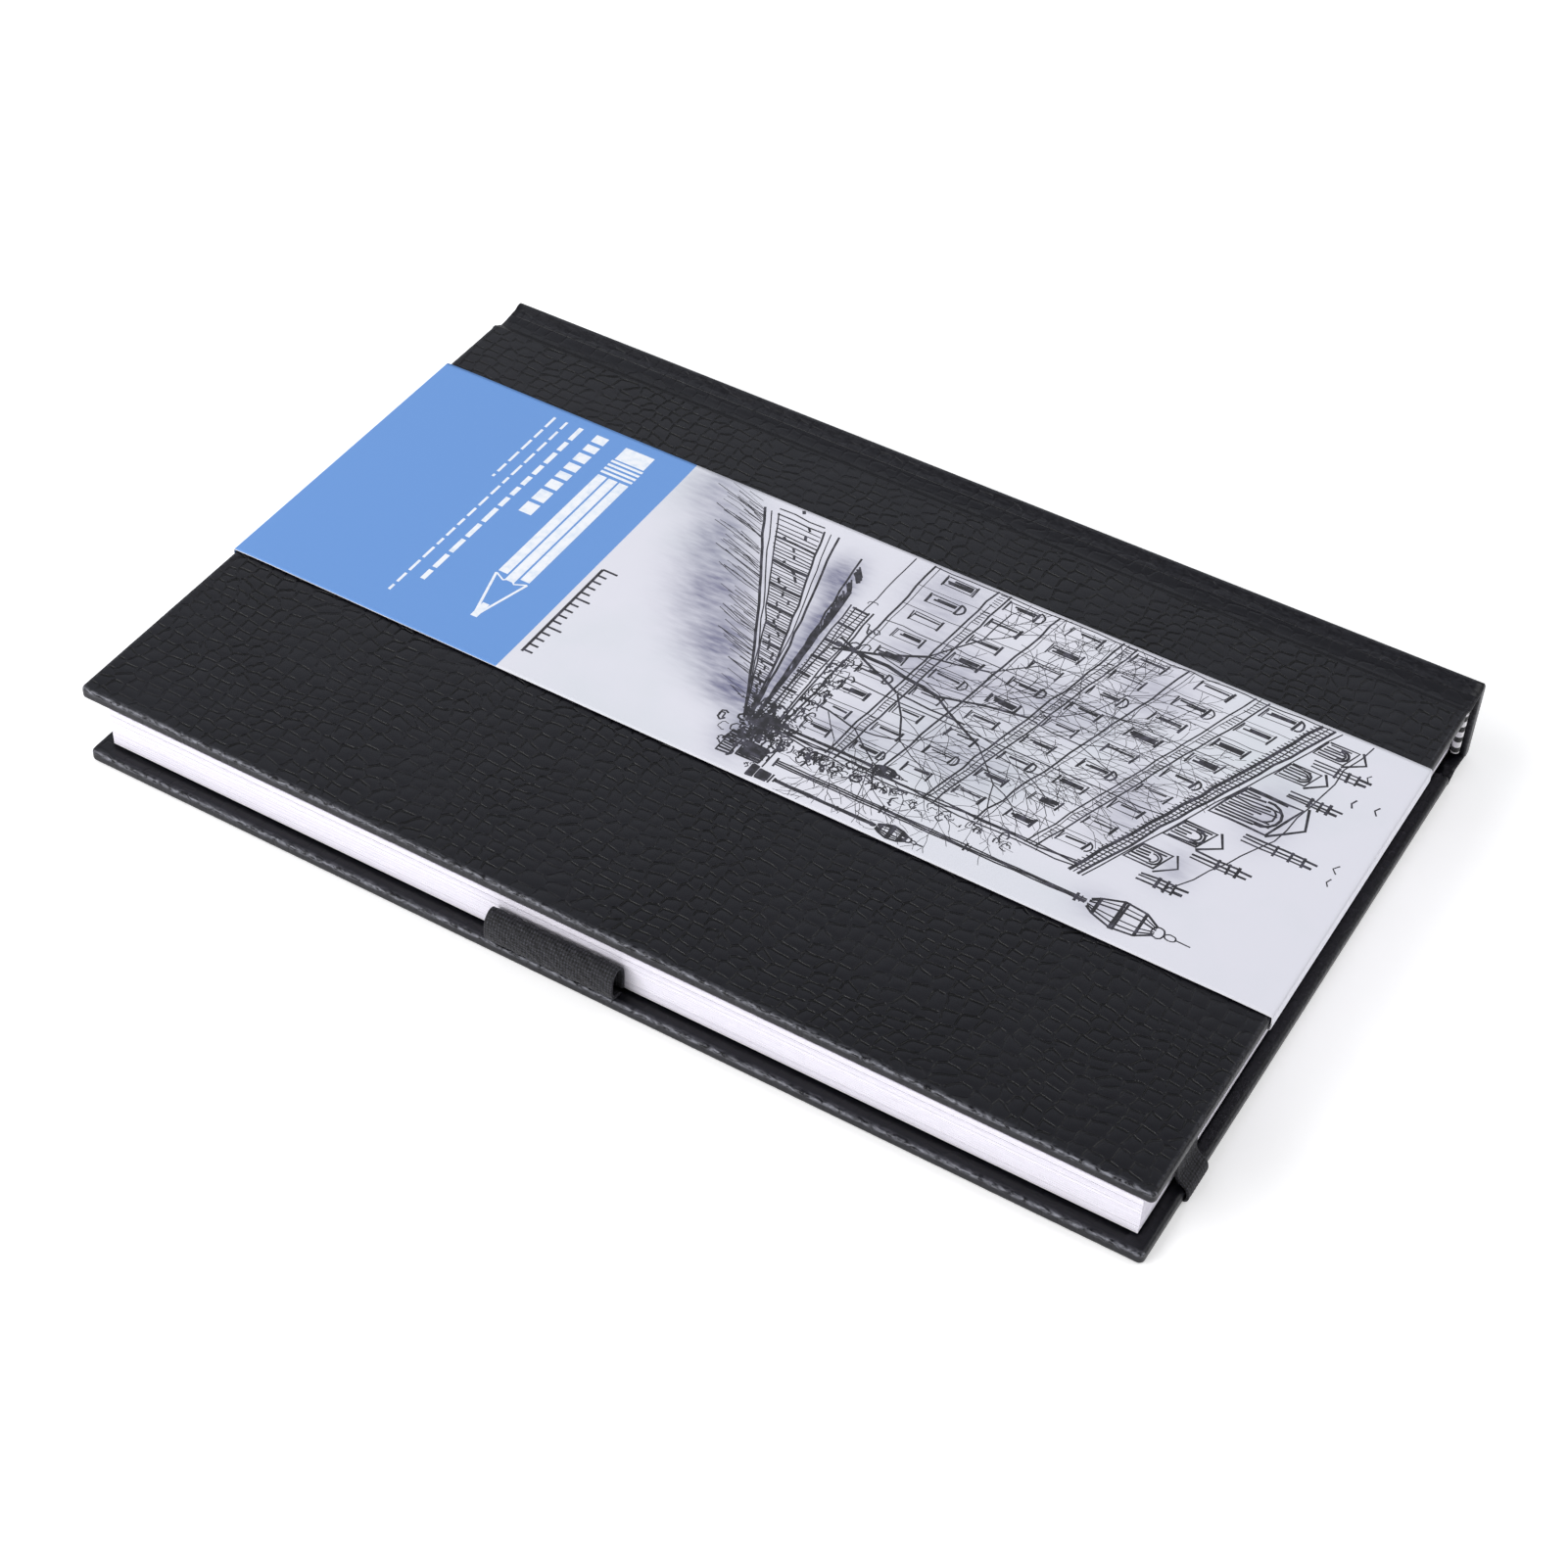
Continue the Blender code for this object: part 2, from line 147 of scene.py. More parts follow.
class Graph:
    """A node tree built by calls: most methods add one node and return the socket that it is used for."""

    def __init__(self, tree: NodeTree) -> None:
        """Keep the tree that the nodes go into."""
        self.tree = tree

    def wire(self, node: Node, inputs: dict) -> None:
        """Set a node's inputs.

        Args:
            node: The node.
            inputs: Socket name or index to a value, or to an output socket to link from.
        """
        for key, value in inputs.items():
            if isinstance(value, NodeSocket):
                self.tree.links.new(value, node.inputs[key])
            else:
                node.inputs[key].default_value = value

    def add(self, kind: str, inputs: dict | None = None, **settings: object) -> Node:
        """Add a node with its settings, its values and its links.

        Args:
            kind: The node's type name.
            inputs: What wire() takes.
            settings: Properties of the node itself.

        Returns:
            The new node.
        """
        made = self.tree.nodes.new(kind)
        for name, value in settings.items():
            setattr(made, name, value)
        self.wire(made, inputs or {})
        return made

    def out(self, kind: str, inputs: dict | None = None, **settings: object) -> NodeSocket:
        """Add a node and return its first output."""
        return self.add(kind, inputs, **settings).outputs[0]

    def math(self, operation: str, *values: Value, clamp: bool = False) -> NodeSocket:
        """Add a sum over one to three numbers."""
        return self.out("ShaderNodeMath", dict(enumerate(values)), operation=operation, use_clamp=clamp)

    def vector(self, operation: str, first: Value, second: Value) -> NodeSocket:
        """Add a sum over two vectors."""
        return self.out("ShaderNodeVectorMath", {0: first, 1: second}, operation=operation)

    def scaled(self, vector: Value, factor: Value) -> NodeSocket:
        """Multiply a vector by a number."""
        return self.out("ShaderNodeVectorMath", {0: vector, "Scale": factor}, operation="SCALE")

    def split(self, vector: NodeSocket) -> dict[str, NodeSocket]:
        """Return a vector's parts by the names X, Y and Z."""
        return self.add("ShaderNodeSeparateXYZ", {0: vector}).outputs

    def noise(self, place: NodeSocket, scale: float, detail: float, **more: float) -> NodeSocket:
        """Add a noise texture and return its value."""
        inputs = {"Vector": place, "Scale": scale, "Detail": detail, **more}
        return self.add("ShaderNodeTexNoise", inputs).outputs["Fac"]

    def spread(
        self, value: Value, low: float = 0.0, high: float = 1.0, to: Pair = (0.0, 1.0), curve: str = "LINEAR"
    ) -> NodeSocket:
        """Map one range of values onto another.

        Args:
            value: What to map.
            low: The start of its range.
            high: The end of its range.
            to: The new range.
            curve: The way between its ends.

        Returns:
            The mapped value.
        """
        inputs = {"Value": value, "From Min": low, "From Max": high, "To Min": to[0], "To Max": to[1]}
        return self.add("ShaderNodeMapRange", inputs, interpolation_type=curve).outputs["Result"]

    def scales(self, place: NodeSocket, cell: float, drift: float) -> tuple[NodeSocket, NodeSocket]:
        """Add a reptile-scale emboss, which the leather's shader and its geometry tree share.

        Args:
            place: A position in metres.
            cell: A scale's mean width in metres.
            drift: How far the rows of scales wander, in metres, which also makes scales large and small.

        Returns:
            Two heights from 0 to 1: the soft dome of each scale, and the narrow creases between scales.
        """
        wander = self.noise(place, 46.0, 1.5).node.outputs["Color"]
        centred = self.vector("SUBTRACT", wander, (0.5, 0.5, 0.5))
        pushed = self.vector("MULTIPLY", centred, (drift, drift, 0.0))
        moved = self.vector("ADD", place, pushed)
        flat = self.vector("MULTIPLY", moved, (1 / cell, 0.82 / cell, 0.0))
        cells = {"Vector": flat, "Scale": 1.0, "Randomness": 0.6, "Exponent": 3.2}
        near, far = (
            self.add(
                "ShaderNodeTexVoronoi", cells, voronoi_dimensions="2D", feature=feature, distance="MINKOWSKI"
            ).outputs["Distance"] for feature in ("F1", "F2")
        )
        apart = self.math("SUBTRACT", far, near)
        dome = self.spread(apart, 0.0, 0.6, curve="SMOOTHERSTEP")
        crease = self.spread(apart, 0.0, 0.26, curve="SMOOTHSTEP")
        return dome, crease


class Surface(Graph):
    """A material's tree with its Principled shader."""

    def __init__(self, name: str) -> None:
        """Make the material."""
        self.made = bpy.data.materials.new(name)
        self.made.use_nodes = True
        super().__init__(self.made.node_tree)

    def where(self, output: str = "Object") -> NodeSocket:
        """Return a texture coordinate."""
        return self.add("ShaderNodeTexCoord").outputs[output]

    def painted(self, name: str) -> NodeSocket:
        """Return a number that is kept on the mesh's points."""
        return self.add("ShaderNodeAttribute", attribute_name=name).outputs["Fac"]

    def mix(self, share: NodeSocket, first: Value, second: Value) -> NodeSocket:
        """Mix two colours."""
        return self.add("ShaderNodeMix", {"Factor": share, 6: first, 7: second}, data_type="RGBA").outputs[2]

    def bump(
        self, height: NodeSocket, strength: float, distance: float, normal: NodeSocket | None = None
    ) -> NodeSocket:
        """Bend the normal by a height.

        Args:
            height: The height, from 0 to 1.
            strength: The share of the effect.
            distance: What a height of 1 means, in metres.
            normal: A normal that is bent already.

        Returns:
            The bent normal.
        """
        inputs = {"Height": height, "Strength": strength, "Distance": distance}
        if normal:
            inputs["Normal"] = normal
        return self.out("ShaderNodeBump", inputs)

    def shade(self, inputs: dict[str, Value]) -> Material:
        """Set the shader's inputs and return the material."""
        self.wire(self.tree.nodes["Principled BSDF"], inputs)
        return self.made


@dataclass(frozen=True)
class Leather:
    """Bonded leather cloth, embossed with reptile scales under heat: near-black, satin on the scales."""

    name: str = "bonded leather, scale embossed"
    # The crease colour is painted shade: it darkens the lee side of each crease.
    crease: str = "#020203"
    scale: str = "#0E0E15"
    # lay: how far ahead the crease is looked up, so that the painted shade falls on one side of each crease.
    lay: tuple[float, float, float] = (0.50 * MM, 0.32 * MM, 0.0)
    cell: float = 2.75 * MM
    drift: float = 8.0 * MM
    # A light grey painted highlight, flecked along the rims where they catch the light.
    rim_highlight: str = "#8E8F99"
    roughness: float = 0.38
    emboss: float = 0.22 * MM
    shine: float = 0.27
    grain: float = 0.28 * MM

    def build(self) -> Material:
        """Make the leather: painted shade on the creases' lee side; rims glossy, finely crinkled, with painted
        highlight flecks.

        Returns:
            The material, which reads the emboss and rim attributes.
        """
        skin = Surface(self.name)
        place = skin.where()
        rim = skin.painted("rim")
        _, crease = skin.scales(place, self.cell, self.drift)
        _, ahead = skin.scales(skin.vector("ADD", place, self.lay), self.cell, self.drift)
        # Painted shade: the crease a little ahead minus the crease here darkens one side of each crease in the
        # base colour.
        lip = skin.math("SUBTRACT", ahead, crease, clamp=True)
        faded = skin.spread(skin.noise(place, 55.0, 2.0), 0.35, 0.62, (0.35, 1.0))
        folded = skin.math("MULTIPLY", lip, skin.math("MULTIPLY", skin.painted("emboss"), faded))
        pressed = skin.math("SUBTRACT", 1.0, folded)
        colour = skin.mix(pressed, linear(self.crease), linear(self.scale))
        drawn = skin.vector("MULTIPLY", place, (1.6, 0.55, 1.6))
        # Painted highlight: light grey flecks along the rims, by the rim attribute.
        flecks = skin.spread(skin.noise(drawn, 1100.0, 2.0, Distortion=0.8), 0.36, 0.74)
        rim_highlighted = skin.mix(skin.math("MULTIPLY", flecks, rim), colour, linear(self.rim_highlight))
        rough = skin.spread(skin.noise(place, 160.0, 4.0), to=(self.roughness - 0.06, self.roughness + 0.08))
        crinkled = skin.math("MULTIPLY", skin.noise(place, 1100.0, 3.0, Distortion=1.5), rim)
        normal = skin.bump(skin.noise(place, 1 / self.grain, 3.0, Roughness=0.6), 0.3, 0.03 * MM)
        normal = skin.bump(crinkled, 0.9, 0.2 * MM, normal)
        return skin.shade({
            "Base Color": rim_highlighted,
            "Roughness": skin.out("ShaderNodeMix", {"Factor": rim, 2: rough, 3: 0.2}, data_type="FLOAT"),
            "Specular IOR Level": self.shine,
            "Normal": skin.bump(pressed, 1.0, self.emboss, normal),
        })


@dataclass(frozen=True)
class Paper:
    """Uncoated paper: matt, with a fine felt texture and faint lines of painted shade where leaf edges meet.
    """

    name: str
    colour: str
    # shade: the colour of the fibre specks and of the painted shade lines between leaf edges.
    shade: str
    fibre: float = 0.35 * MM
    leaf: float = 0.13 * MM
    # lines: how dark the painted shade lines between leaf edges are.
    lines: float = 0.0
    bump: float = 0.02 * MM

    def build(self) -> Material:
        """Make the paper, with its painted shade lines on the upright faces only.

        Returns:
            The material.
        """
        sheet = Surface(self.name)
        place = sheet.where()
        fibres = sheet.noise(place, 1 / self.fibre, 4.0, Roughness=0.65)
        layered = sheet.vector("MULTIPLY", place, (6.0, 6.0, 1 / self.leaf))
        # Painted shade: thin dark lines between the stacked leaf edges, on upright faces only.
        line = sheet.spread(sheet.noise(layered, 1.0, 1.0), 0.56, 0.72, (0.0, self.lines))
        level = sheet.math("ABSOLUTE", sheet.split(sheet.where("Normal"))["Z"])
        seen = sheet.math("MULTIPLY", line, sheet.math("SUBTRACT", 1.0, level, clamp=True))
        gap_shade_and_specks = sheet.math("ADD", seen, sheet.spread(fibres, 0.35, 1.0, (0.0, 0.10)), clamp=True)
        return sheet.shade({
            "Base Color": sheet.mix(gap_shade_and_specks, linear(self.colour), linear(self.shade)),
            "Roughness": 0.88,
            "Normal": sheet.bump(fibres, 0.4, self.bump),
        })


@dataclass(frozen=True)
class PrintedPaper:
    """Smooth offset-printed paper: a blue field at the tail, a pale field with a grey ink wash above it."""

    name: str = "offset printed art paper"
    blue: str = "#6697DA"
    pale: str = "#E2E2EC"
    tint: str = "#D3DAE0"
    wash: str = "#55567C"
    boundary: float = -50.0 * MM

    def build(self) -> Material:
        """Make the printed paper.

        Returns:
            The material, which reads the wash attribute for the brushed tone.
        """
        sheet = Surface(self.name)
        place = sheet.where()
        above = sheet.math("GREATER_THAN", sheet.split(place)["Y"], self.boundary)
        blots = sheet.spread(sheet.noise(place, 32.0, 3.0), 0.5, 0.8, (0.0, 0.7))
        ground = sheet.mix(blots, linear(self.pale), linear(self.tint))
        brushed = sheet.vector("MULTIPLY", place, (900.0, 220.0, 1.0))
        streaks = sheet.spread(sheet.noise(brushed, 1.0, 4.0), 0.3, 0.7, (0.55, 1.15))
        amount = sheet.math("MULTIPLY", sheet.painted("wash"), streaks, clamp=True)
        washed = sheet.mix(amount, ground, linear(self.wash))
        return sheet.shade({
            "Base Color": sheet.mix(above, linear(self.blue), washed),
            "Roughness": 0.42,
            "Normal": sheet.bump(sheet.noise(place, 1800.0, 3.0), 0.15, 0.01 * MM),
        })


@dataclass(frozen=True)
class Ink:
    """Printing ink, a film that takes the sheen of the paper under it and is patchy where it is thin."""

    name: str
    colour: str
    thin: str
    roughness: float = 0.4

    def build(self) -> Material:
        """Make the ink.

        Returns:
            The material.
        """
        film = Surface(self.name)
        patchy = film.spread(film.noise(film.where(), 700.0, 3.0), 0.45, 0.75)
        colour = film.mix(patchy, linear(self.colour), linear(self.thin))
        return film.shade({"Base Color": colour, "Roughness": self.roughness})


@dataclass(frozen=True)
class Woven:
    """Yarn woven or wound close: matt, with a fibre sheen and a weave that follows the piece's own UV map."""

    name: str
    colour: str
    # light: the colour of the yarn's tops, partly random fibre tone and partly painted highlight.
    light: str
    yarn: float = 0.45 * MM
    depth: float = 0.09 * MM
    sheen: float = 0.25

    def build(self) -> Material:
        """Make the cloth, on a UV map in metres along and across it.

        Returns:
            The material.
        """
        cloth = Surface(self.name)
        apart = cloth.split(cloth.vector("MULTIPLY", cloth.where("UV"), (1 / self.yarn, 1 / self.yarn, 0.0)))
        warp, weft = (
            cloth.math("SINE", cloth.math("MULTIPLY", cloth.math(way, apart["X"], apart["Y"]), math.pi))
            for way in ("ADD", "SUBTRACT")
        )
        place = cloth.where()
        fuzz = cloth.noise(place, 5000.0, 2.0)
        uneven = cloth.spread(cloth.noise(place, 1.6 / self.yarn, 1.0), 0.38, 0.64)
        broken = cloth.math("MULTIPLY", cloth.math("MULTIPLY", warp, weft), uneven)
        height = cloth.math("MULTIPLY_ADD", broken, 0.6, fuzz)
        # The base colour follows the weave's height: the hollows take the dark colour as painted shade and the
        # yarn tops take the light one as painted highlight, mixed with random fibre tone.
        return cloth.shade({
            "Base Color": cloth.mix(cloth.spread(height, 0.35, 1.0), linear(self.colour), linear(self.light)),
            "Roughness": 0.7,
            "Specular IOR Level": 0.35,
            "Sheen Weight": self.sheen,
            "Sheen Roughness": 0.45,
            "Normal": cloth.bump(height, 0.8, self.depth),
        })


@dataclass(frozen=True)
class StripedSilk:
    """Headband silk, wound in bands of black and white thread up the height of the block."""

    name: str = "headband silk, black and white"
    dark: str = "#101012"
    bright: str = "#F2F0F4"
    period: float = 2.75 * MM
    start: float = 0.0

    def build(self) -> Material:
        """Make the silk.

        Returns:
            The material.
        """
        silk = Surface(self.name)
        place = silk.where()
        turns = silk.math("MULTIPLY_ADD", silk.split(place)["Z"], 1 / self.period, -self.start / self.period)
        white = silk.math("GREATER_THAN", silk.math("FRACT", turns), 0.5)
        fibre = silk.noise(silk.vector("MULTIPLY", place, (900.0, 900.0, 9000.0)), 1.0, 2.0)
        return silk.shade({
            "Base Color": silk.mix(white, linear(self.dark), linear(self.bright)),
            "Roughness": 0.5,
            "Sheen Weight": 0.3,
            "Normal": silk.bump(fibre, 0.5, 0.03 * MM),
        })


@dataclass(frozen=True)
class Studio:
    """Seamless paper backdrop: flat, matt, nearly white and lit a little from below."""

    name: str = "seamless backdrop paper"
    colour: str = "#FDFDFE"
    glow: float = 0.32

    def build(self) -> Material:
        """Make the backdrop's paper and return its material."""
        inputs = {"Base Color": linear(self.colour), "Roughness": 0.95}
        return Surface(self.name).shade({**inputs, "Emission Color": WHITE, "Emission Strength": self.glow})


class Finishes:
    """Every material, made once."""

    def __init__(self) -> None:
        """Build the materials."""
        stack = Box.of("section_1", "section_8")
        self.leather = Leather().build()
        self.leaves = Paper("uncoated drawing paper", "#F4F1FA", "#BBB5C8", lines=0.7).build()
        self.endpaper = Paper("uncoated endpaper", "#F4F2F8", "#D8D4DE", 0.5 * MM).build()
        self.kraft = Paper("brown kraft paper", "#A9825A", "#7E5C3A", 0.6 * MM, bump=0.05 * MM).build()
        self.greyboard = Paper("binder's greyboard", "#8D8880", "#67625B", 0.8 * MM, bump=0.1 * MM).build()
        self.print = PrintedPaper().build()
        self.print_edge = Paper("art paper, cut edge", "#FAF9FD", "#E4E2EA").build()
        self.black_ink = Ink("black printing ink", "#17151C", "#4A4856").build()
        self.white_ink = Ink("reversed white type", "#F3F6FC", "#DCE7F6").build()
        self.elastic = Woven("woven elastic, black", "#020203", "#45454E", 0.62 * MM, 0.15 * MM, 0.04).build()
        self.gauze = Woven("starched cotton gauze", "#C9C3B4", "#EFEBDF", 0.8 * MM).build()
        self.silk = StripedSilk(start=stack.low.z).build()


def as_object(name: str, data: ID) -> Object:
    """Put a mesh, light or camera into the scene as an object.

    Args:
        name: The object's name.
        data: What it shows.

    Returns:
        The new object.
    """
    made = bpy.data.objects.new(name, data)
    bpy.context.scene.collection.objects.link(made)
    return made


def from_bmesh(name: str, work: bmesh.types.BMesh) -> Object:
    """Turn a bmesh into an object and free it.

    Args:
        name: The name of the object and of its mesh.
        work: The bmesh.

    Returns:
        The new object.
    """
    mesh = bpy.data.meshes.new(name)
    work.to_mesh(mesh)
    work.free()
    return as_object(name, mesh)


def keep_numbers(mesh: Mesh, name: str, values: Sequence[float]) -> None:
    """Write one number for each point into a named attribute."""
    layer = mesh.attributes.new(name, "FLOAT", "POINT")
    layer.data.foreach_set("value", np.asarray(values, np.float32))


def points_of(mesh: Mesh) -> np.ndarray:
    """Return a mesh's points, one row for each.

    Args:
        mesh: The mesh.

    Returns:
        Its points.
    """
    flat = np.zeros(len(mesh.vertices) * 3, np.float32)
    mesh.vertices.foreach_get("co", flat)
    return flat.reshape(-1, 3)


def mesh_piece(
    name: str,
    points: np.ndarray,
    faces: Sequence[Sequence[int]],
    material: Material,
    attributes: dict[str, np.ndarray] | None = None,
    merge: float = 0.0,
) -> Object:
    """Make a smooth-shaded object from points and faces, at the origin.

    Args:
        name: The object's name.
        points: One row for each point, in metres.
        faces: Lists of point indices.
        material: The piece's finish.
        attributes: Numbers to keep on the points, by name.
        merge: Points closer than this become one.

    Returns:
        The new object.
    """
    mesh = bpy.data.meshes.new(name)
    mesh.from_pydata(points.tolist(), [], [list(face) for face in faces])
    for key, values in (attributes or {}).items():
        keep_numbers(mesh, key, values)
    work = bmesh.new()
    work.from_mesh(mesh)
    if merge:
        bmesh.ops.remove_doubles(work, verts=work.verts, dist=merge)
    bmesh.ops.recalc_face_normals(work, faces=work.faces)
    work.to_mesh(mesh)
    work.free()
    mesh.shade_smooth()
    mesh.materials.append(material)
    return as_object(name, mesh)


class MeshTree(Graph):
    """A geometry tree with a mesh input, named inputs and a mesh output."""

    def __init__(self, name: str, inputs: dict[str, object]) -> None:
        """Start the tree.

        Args:
            name: The tree's name.
            inputs: Each input's name and default, whose type is the input's kind; None means a material.
        """
        super().__init__(bpy.data.node_groups.new(name, "GeometryNodeTree"))
        face = self.tree.interface
        face.new_socket("Geometry", in_out="INPUT", socket_type="NodeSocketGeometry")
        for key, default in inputs.items():
            socket = face.new_socket(key, in_out="INPUT", socket_type=f"NodeSocket{SOCKETS[type(default)]}")
            if default is not None:
                socket.default_value = default
        face.new_socket("Geometry", in_out="OUTPUT", socket_type="NodeSocketGeometry")
        self.given = self.tree.nodes.new("NodeGroupInput").outputs

    def place(self) -> NodeSocket:
        """Return each point's position."""
        return self.out("GeometryNodeInputPosition")

    def number(self, name: str) -> NodeSocket:
        """Return a number that is kept on the points."""
        return self.out("GeometryNodeInputNamedAttribute", {"Name": name}, data_type="FLOAT")

    def finish(self, mesh: NodeSocket) -> "MeshTree":
        """End the tree in Realize Instances, Set Material and the output.

        Args:
            mesh: What the tree has made.

        Returns:
            The tree itself.
        """
        real = self.out("GeometryNodeRealizeInstances", {0: mesh})
        dressed = self.out("GeometryNodeSetMaterial", {"Geometry": real, "Material": self.given["Material"]})
        self.add("NodeGroupOutput", {0: dressed})
        return self

    def run(self, target: Object, values: dict[str, object], name: str) -> Object:
        """Evaluate the tree on an object and keep the result as a plain mesh.

        Args:
            target: The object whose mesh goes in; it is removed.
            values: Input name to value.
            name: The new object's name.

        Returns:
            The object that holds the result.
        """
        modifier = target.modifiers.new(self.tree.name, "NODES")
        modifier.node_group = self.tree
        items = self.tree.interface.items_tree
        sockets = {item.name: item.identifier for item in items if item.in_out == "INPUT"}
        for key, value in values.items():
            modifier[sockets[key]] = value
        bpy.context.view_layer.update()
        shown = target.evaluated_get(bpy.context.evaluated_depsgraph_get())
        mesh = bpy.data.meshes.new_from_object(shown)
        mesh.name = name
        old = target.data
        bpy.data.objects.remove(target, do_unlink=True)
        bpy.data.meshes.remove(old)
        mesh.shade_smooth()
        return as_object(name, mesh)


def emboss_tree(finish: Leather) -> MeshTree:
    """Make the tree that presses the scale pattern into a leather mesh.

    Args:
        finish: The leather, whose scale size the relief shares.

    Returns:
        The tree, with a depth in metres and a material as inputs.
    """
    tree = MeshTree("pressed scales", {"Depth": 0.1 * MM, "Material": None})
    height, _ = tree.scales(tree.place(), finish.cell, finish.drift)
    masked = tree.math("MULTIPLY", tree.math("SUBTRACT", height, 1.0), tree.number("emboss"))
    deep = tree.math("MULTIPLY", masked, tree.given["Depth"])
    offset = tree.scaled(tree.out("GeometryNodeInputNormal"), deep)
    moved = tree.out("GeometryNodeSetPosition", {"Geometry": tree.given["Geometry"], "Offset": offset})
    return tree.finish(moved)


def stations(start: float, stop: float, pitch: float) -> np.ndarray:
    """Return evenly spaced values from start to stop, no further apart than pitch."""
    return np.linspace(start, stop, max(2, int(math.ceil((stop - start) / pitch)) + 1))


def loft(rows: Sequence[np.ndarray]) -> Faces:
    """Join rows of point numbers, each a closed ring, by four-sided faces.

    Args:
        rows: The rows, all of the same length.

    Returns:
        The faces.
    """
    faces: Faces = []
    for low, high in zip(rows[:-1], rows[1:]):
        faces += np.stack([low, np.roll(low, -1), np.roll(high, -1), high], axis=1).tolist()
    return faces


def upright(ring: np.ndarray, y: float) -> np.ndarray:
    """Stand an outline in X and Z at one place along Y."""
    return np.stack([ring[:, 0], np.full(len(ring), y), ring[:, 1]], axis=1)


def bar(rings: Sequence[np.ndarray]) -> tuple[np.ndarray, Faces]:
    """Join rings of points into a bar with closed ends.

    Args:
        rings: The points of each ring.

    Returns:
        The bar's points and its faces.
    """
    index = np.arange(len(rings) * len(rings[0])).reshape(len(rings), -1)
    return np.concatenate(rings), loft(index) + [index[0].tolist(), index[-1].tolist()]


def repaint(node: str, material: Material) -> None:
    """Give a carried-over CAD node its finish.

    Args:
        node: The node's name.
        material: The finish.
    """
    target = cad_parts[node]
    for place in target.material_slots:
        place.material = material
    if not target.material_slots:
        target.data.materials.append(material)


def distance_along(route: np.ndarray) -> np.ndarray:
    """Return each point's distance along a route."""
    return np.concatenate([[0.0], np.cumsum(np.linalg.norm(np.diff(route, axis=0), axis=1))])


def straight(x: float, ys: np.ndarray, z: float) -> np.ndarray:
    """Return a route along Y."""
    return np.stack([np.full(len(ys), x), ys, np.full(len(ys), z)], axis=1)


def strip(
    name: str,
    route: np.ndarray,
    across: Vector,
    width: np.ndarray,
    thickness: float,
    material: Material,
    relief: Callable[[np.ndarray, np.ndarray], np.ndarray] | None = None,
) -> Object:
    """Sweep a flat strip along a route, with both faces, both selvedges and its ends closed.

    Args:
        name: The object's name.
        route: Points of the strip's middle line, in metres.
        across: The direction of the strip's width, at right angles to the whole route.
        width: Stations across the strip, measured from its middle line.
        thickness: The strip's thickness.
        material: Its finish.
        relief: Extra height of each face, from the distance along and the distance across.

    Returns:
        The strip, with a UV map in metres along and across it.
    """
    steps = np.roll(route, -1, axis=0) - np.roll(route, 1, axis=0)
    steps[0] = route[1] - route[0]
    steps[-1] = route[-1] - route[-2]
    along = steps / np.linalg.norm(steps, axis=1)[:, None]
    side = np.array(across)
    normal = np.cross(along, side)
    run = distance_along(route)
    count = len(route)
    wide = len(width)
    grid_run = np.repeat(run, wide)
    grid_width = np.tile(width, count)
    lift = relief(grid_run, grid_width) if relief else np.zeros(count * wide)
    middle = np.repeat(route, wide, axis=0) + grid_width[:, None] * side
    out = np.repeat(normal, wide, axis=0)
    half = thickness / 2
    points = np.concatenate([middle + out * (half + lift)[:, None], middle - out * (half + lift)[:, None]])
    upper = np.arange(count * wide).reshape(count, wide)
    lower = upper + count * wide
    faces: Faces = []
    for row in range(count - 1):
        after = row + 1
        top = np.stack([upper[row, :-1], upper[row, 1:], upper[after, 1:], upper[after, :-1]], axis=1)
        bottom = np.stack([lower[row, :-1], lower[after, :-1], lower[after, 1:], lower[row, 1:]], axis=1)
        faces += top.tolist()
        faces += bottom.tolist()
        faces.append([int(k) for k in (upper[row, 0], upper[after, 0], lower[after, 0], lower[row, 0])])
        faces.append([int(k) for k in (upper[row, -1], lower[row, -1], lower[after, -1], upper[after, -1])])
    for row in (0, count - 1):
        faces.append([int(k) for k in [*upper[row], *lower[row, ::-1]]])
    made = mesh_piece(name, points, faces, material)
    flat = np.concatenate([np.stack([grid_run, grid_width], axis=1)] * 2)
    corners = np.zeros(len(made.data.loops), np.int32)
    made.data.loops.foreach_get("vertex_index", corners)
    layer = made.data.uv_layers.new(name="cloth")
    layer.data.foreach_set("uv", flat[corners].astype(np.float32).ravel())
    return made


def smooth_route(points: Sequence[tuple[float, float, float]], pitch: float) -> np.ndarray:
    """Draw a smooth curve through points.

    Args:
        points: What the curve passes through.
        pitch: The spacing of the result.

    Returns:
        Evenly spaced points, one in each row.
    """
    given = np.array(points)
    given = np.concatenate([[2 * given[0] - given[1]], given, [2 * given[-1] - given[-2]]])
    rows = []
    for a, b, c, d in zip(given[:-3], given[1:-2], given[2:-1], given[3:]):
        for t in np.linspace(0, 1, 24, endpoint=False):
            curved = (2 * a - 5 * b + 4 * c - d) * t**2 + (3 * b - a - 3 * c + d) * t**3
            rows.append(0.5 * (2 * b + (c - a) * t + curved))
    rows.append(given[-2])
    dense = np.array(rows)
    run = distance_along(dense)
    places = stations(0.0, float(run[-1]), pitch)
    return np.stack([np.interp(places, run, dense[:, axis]) for axis in range(3)], axis=1)


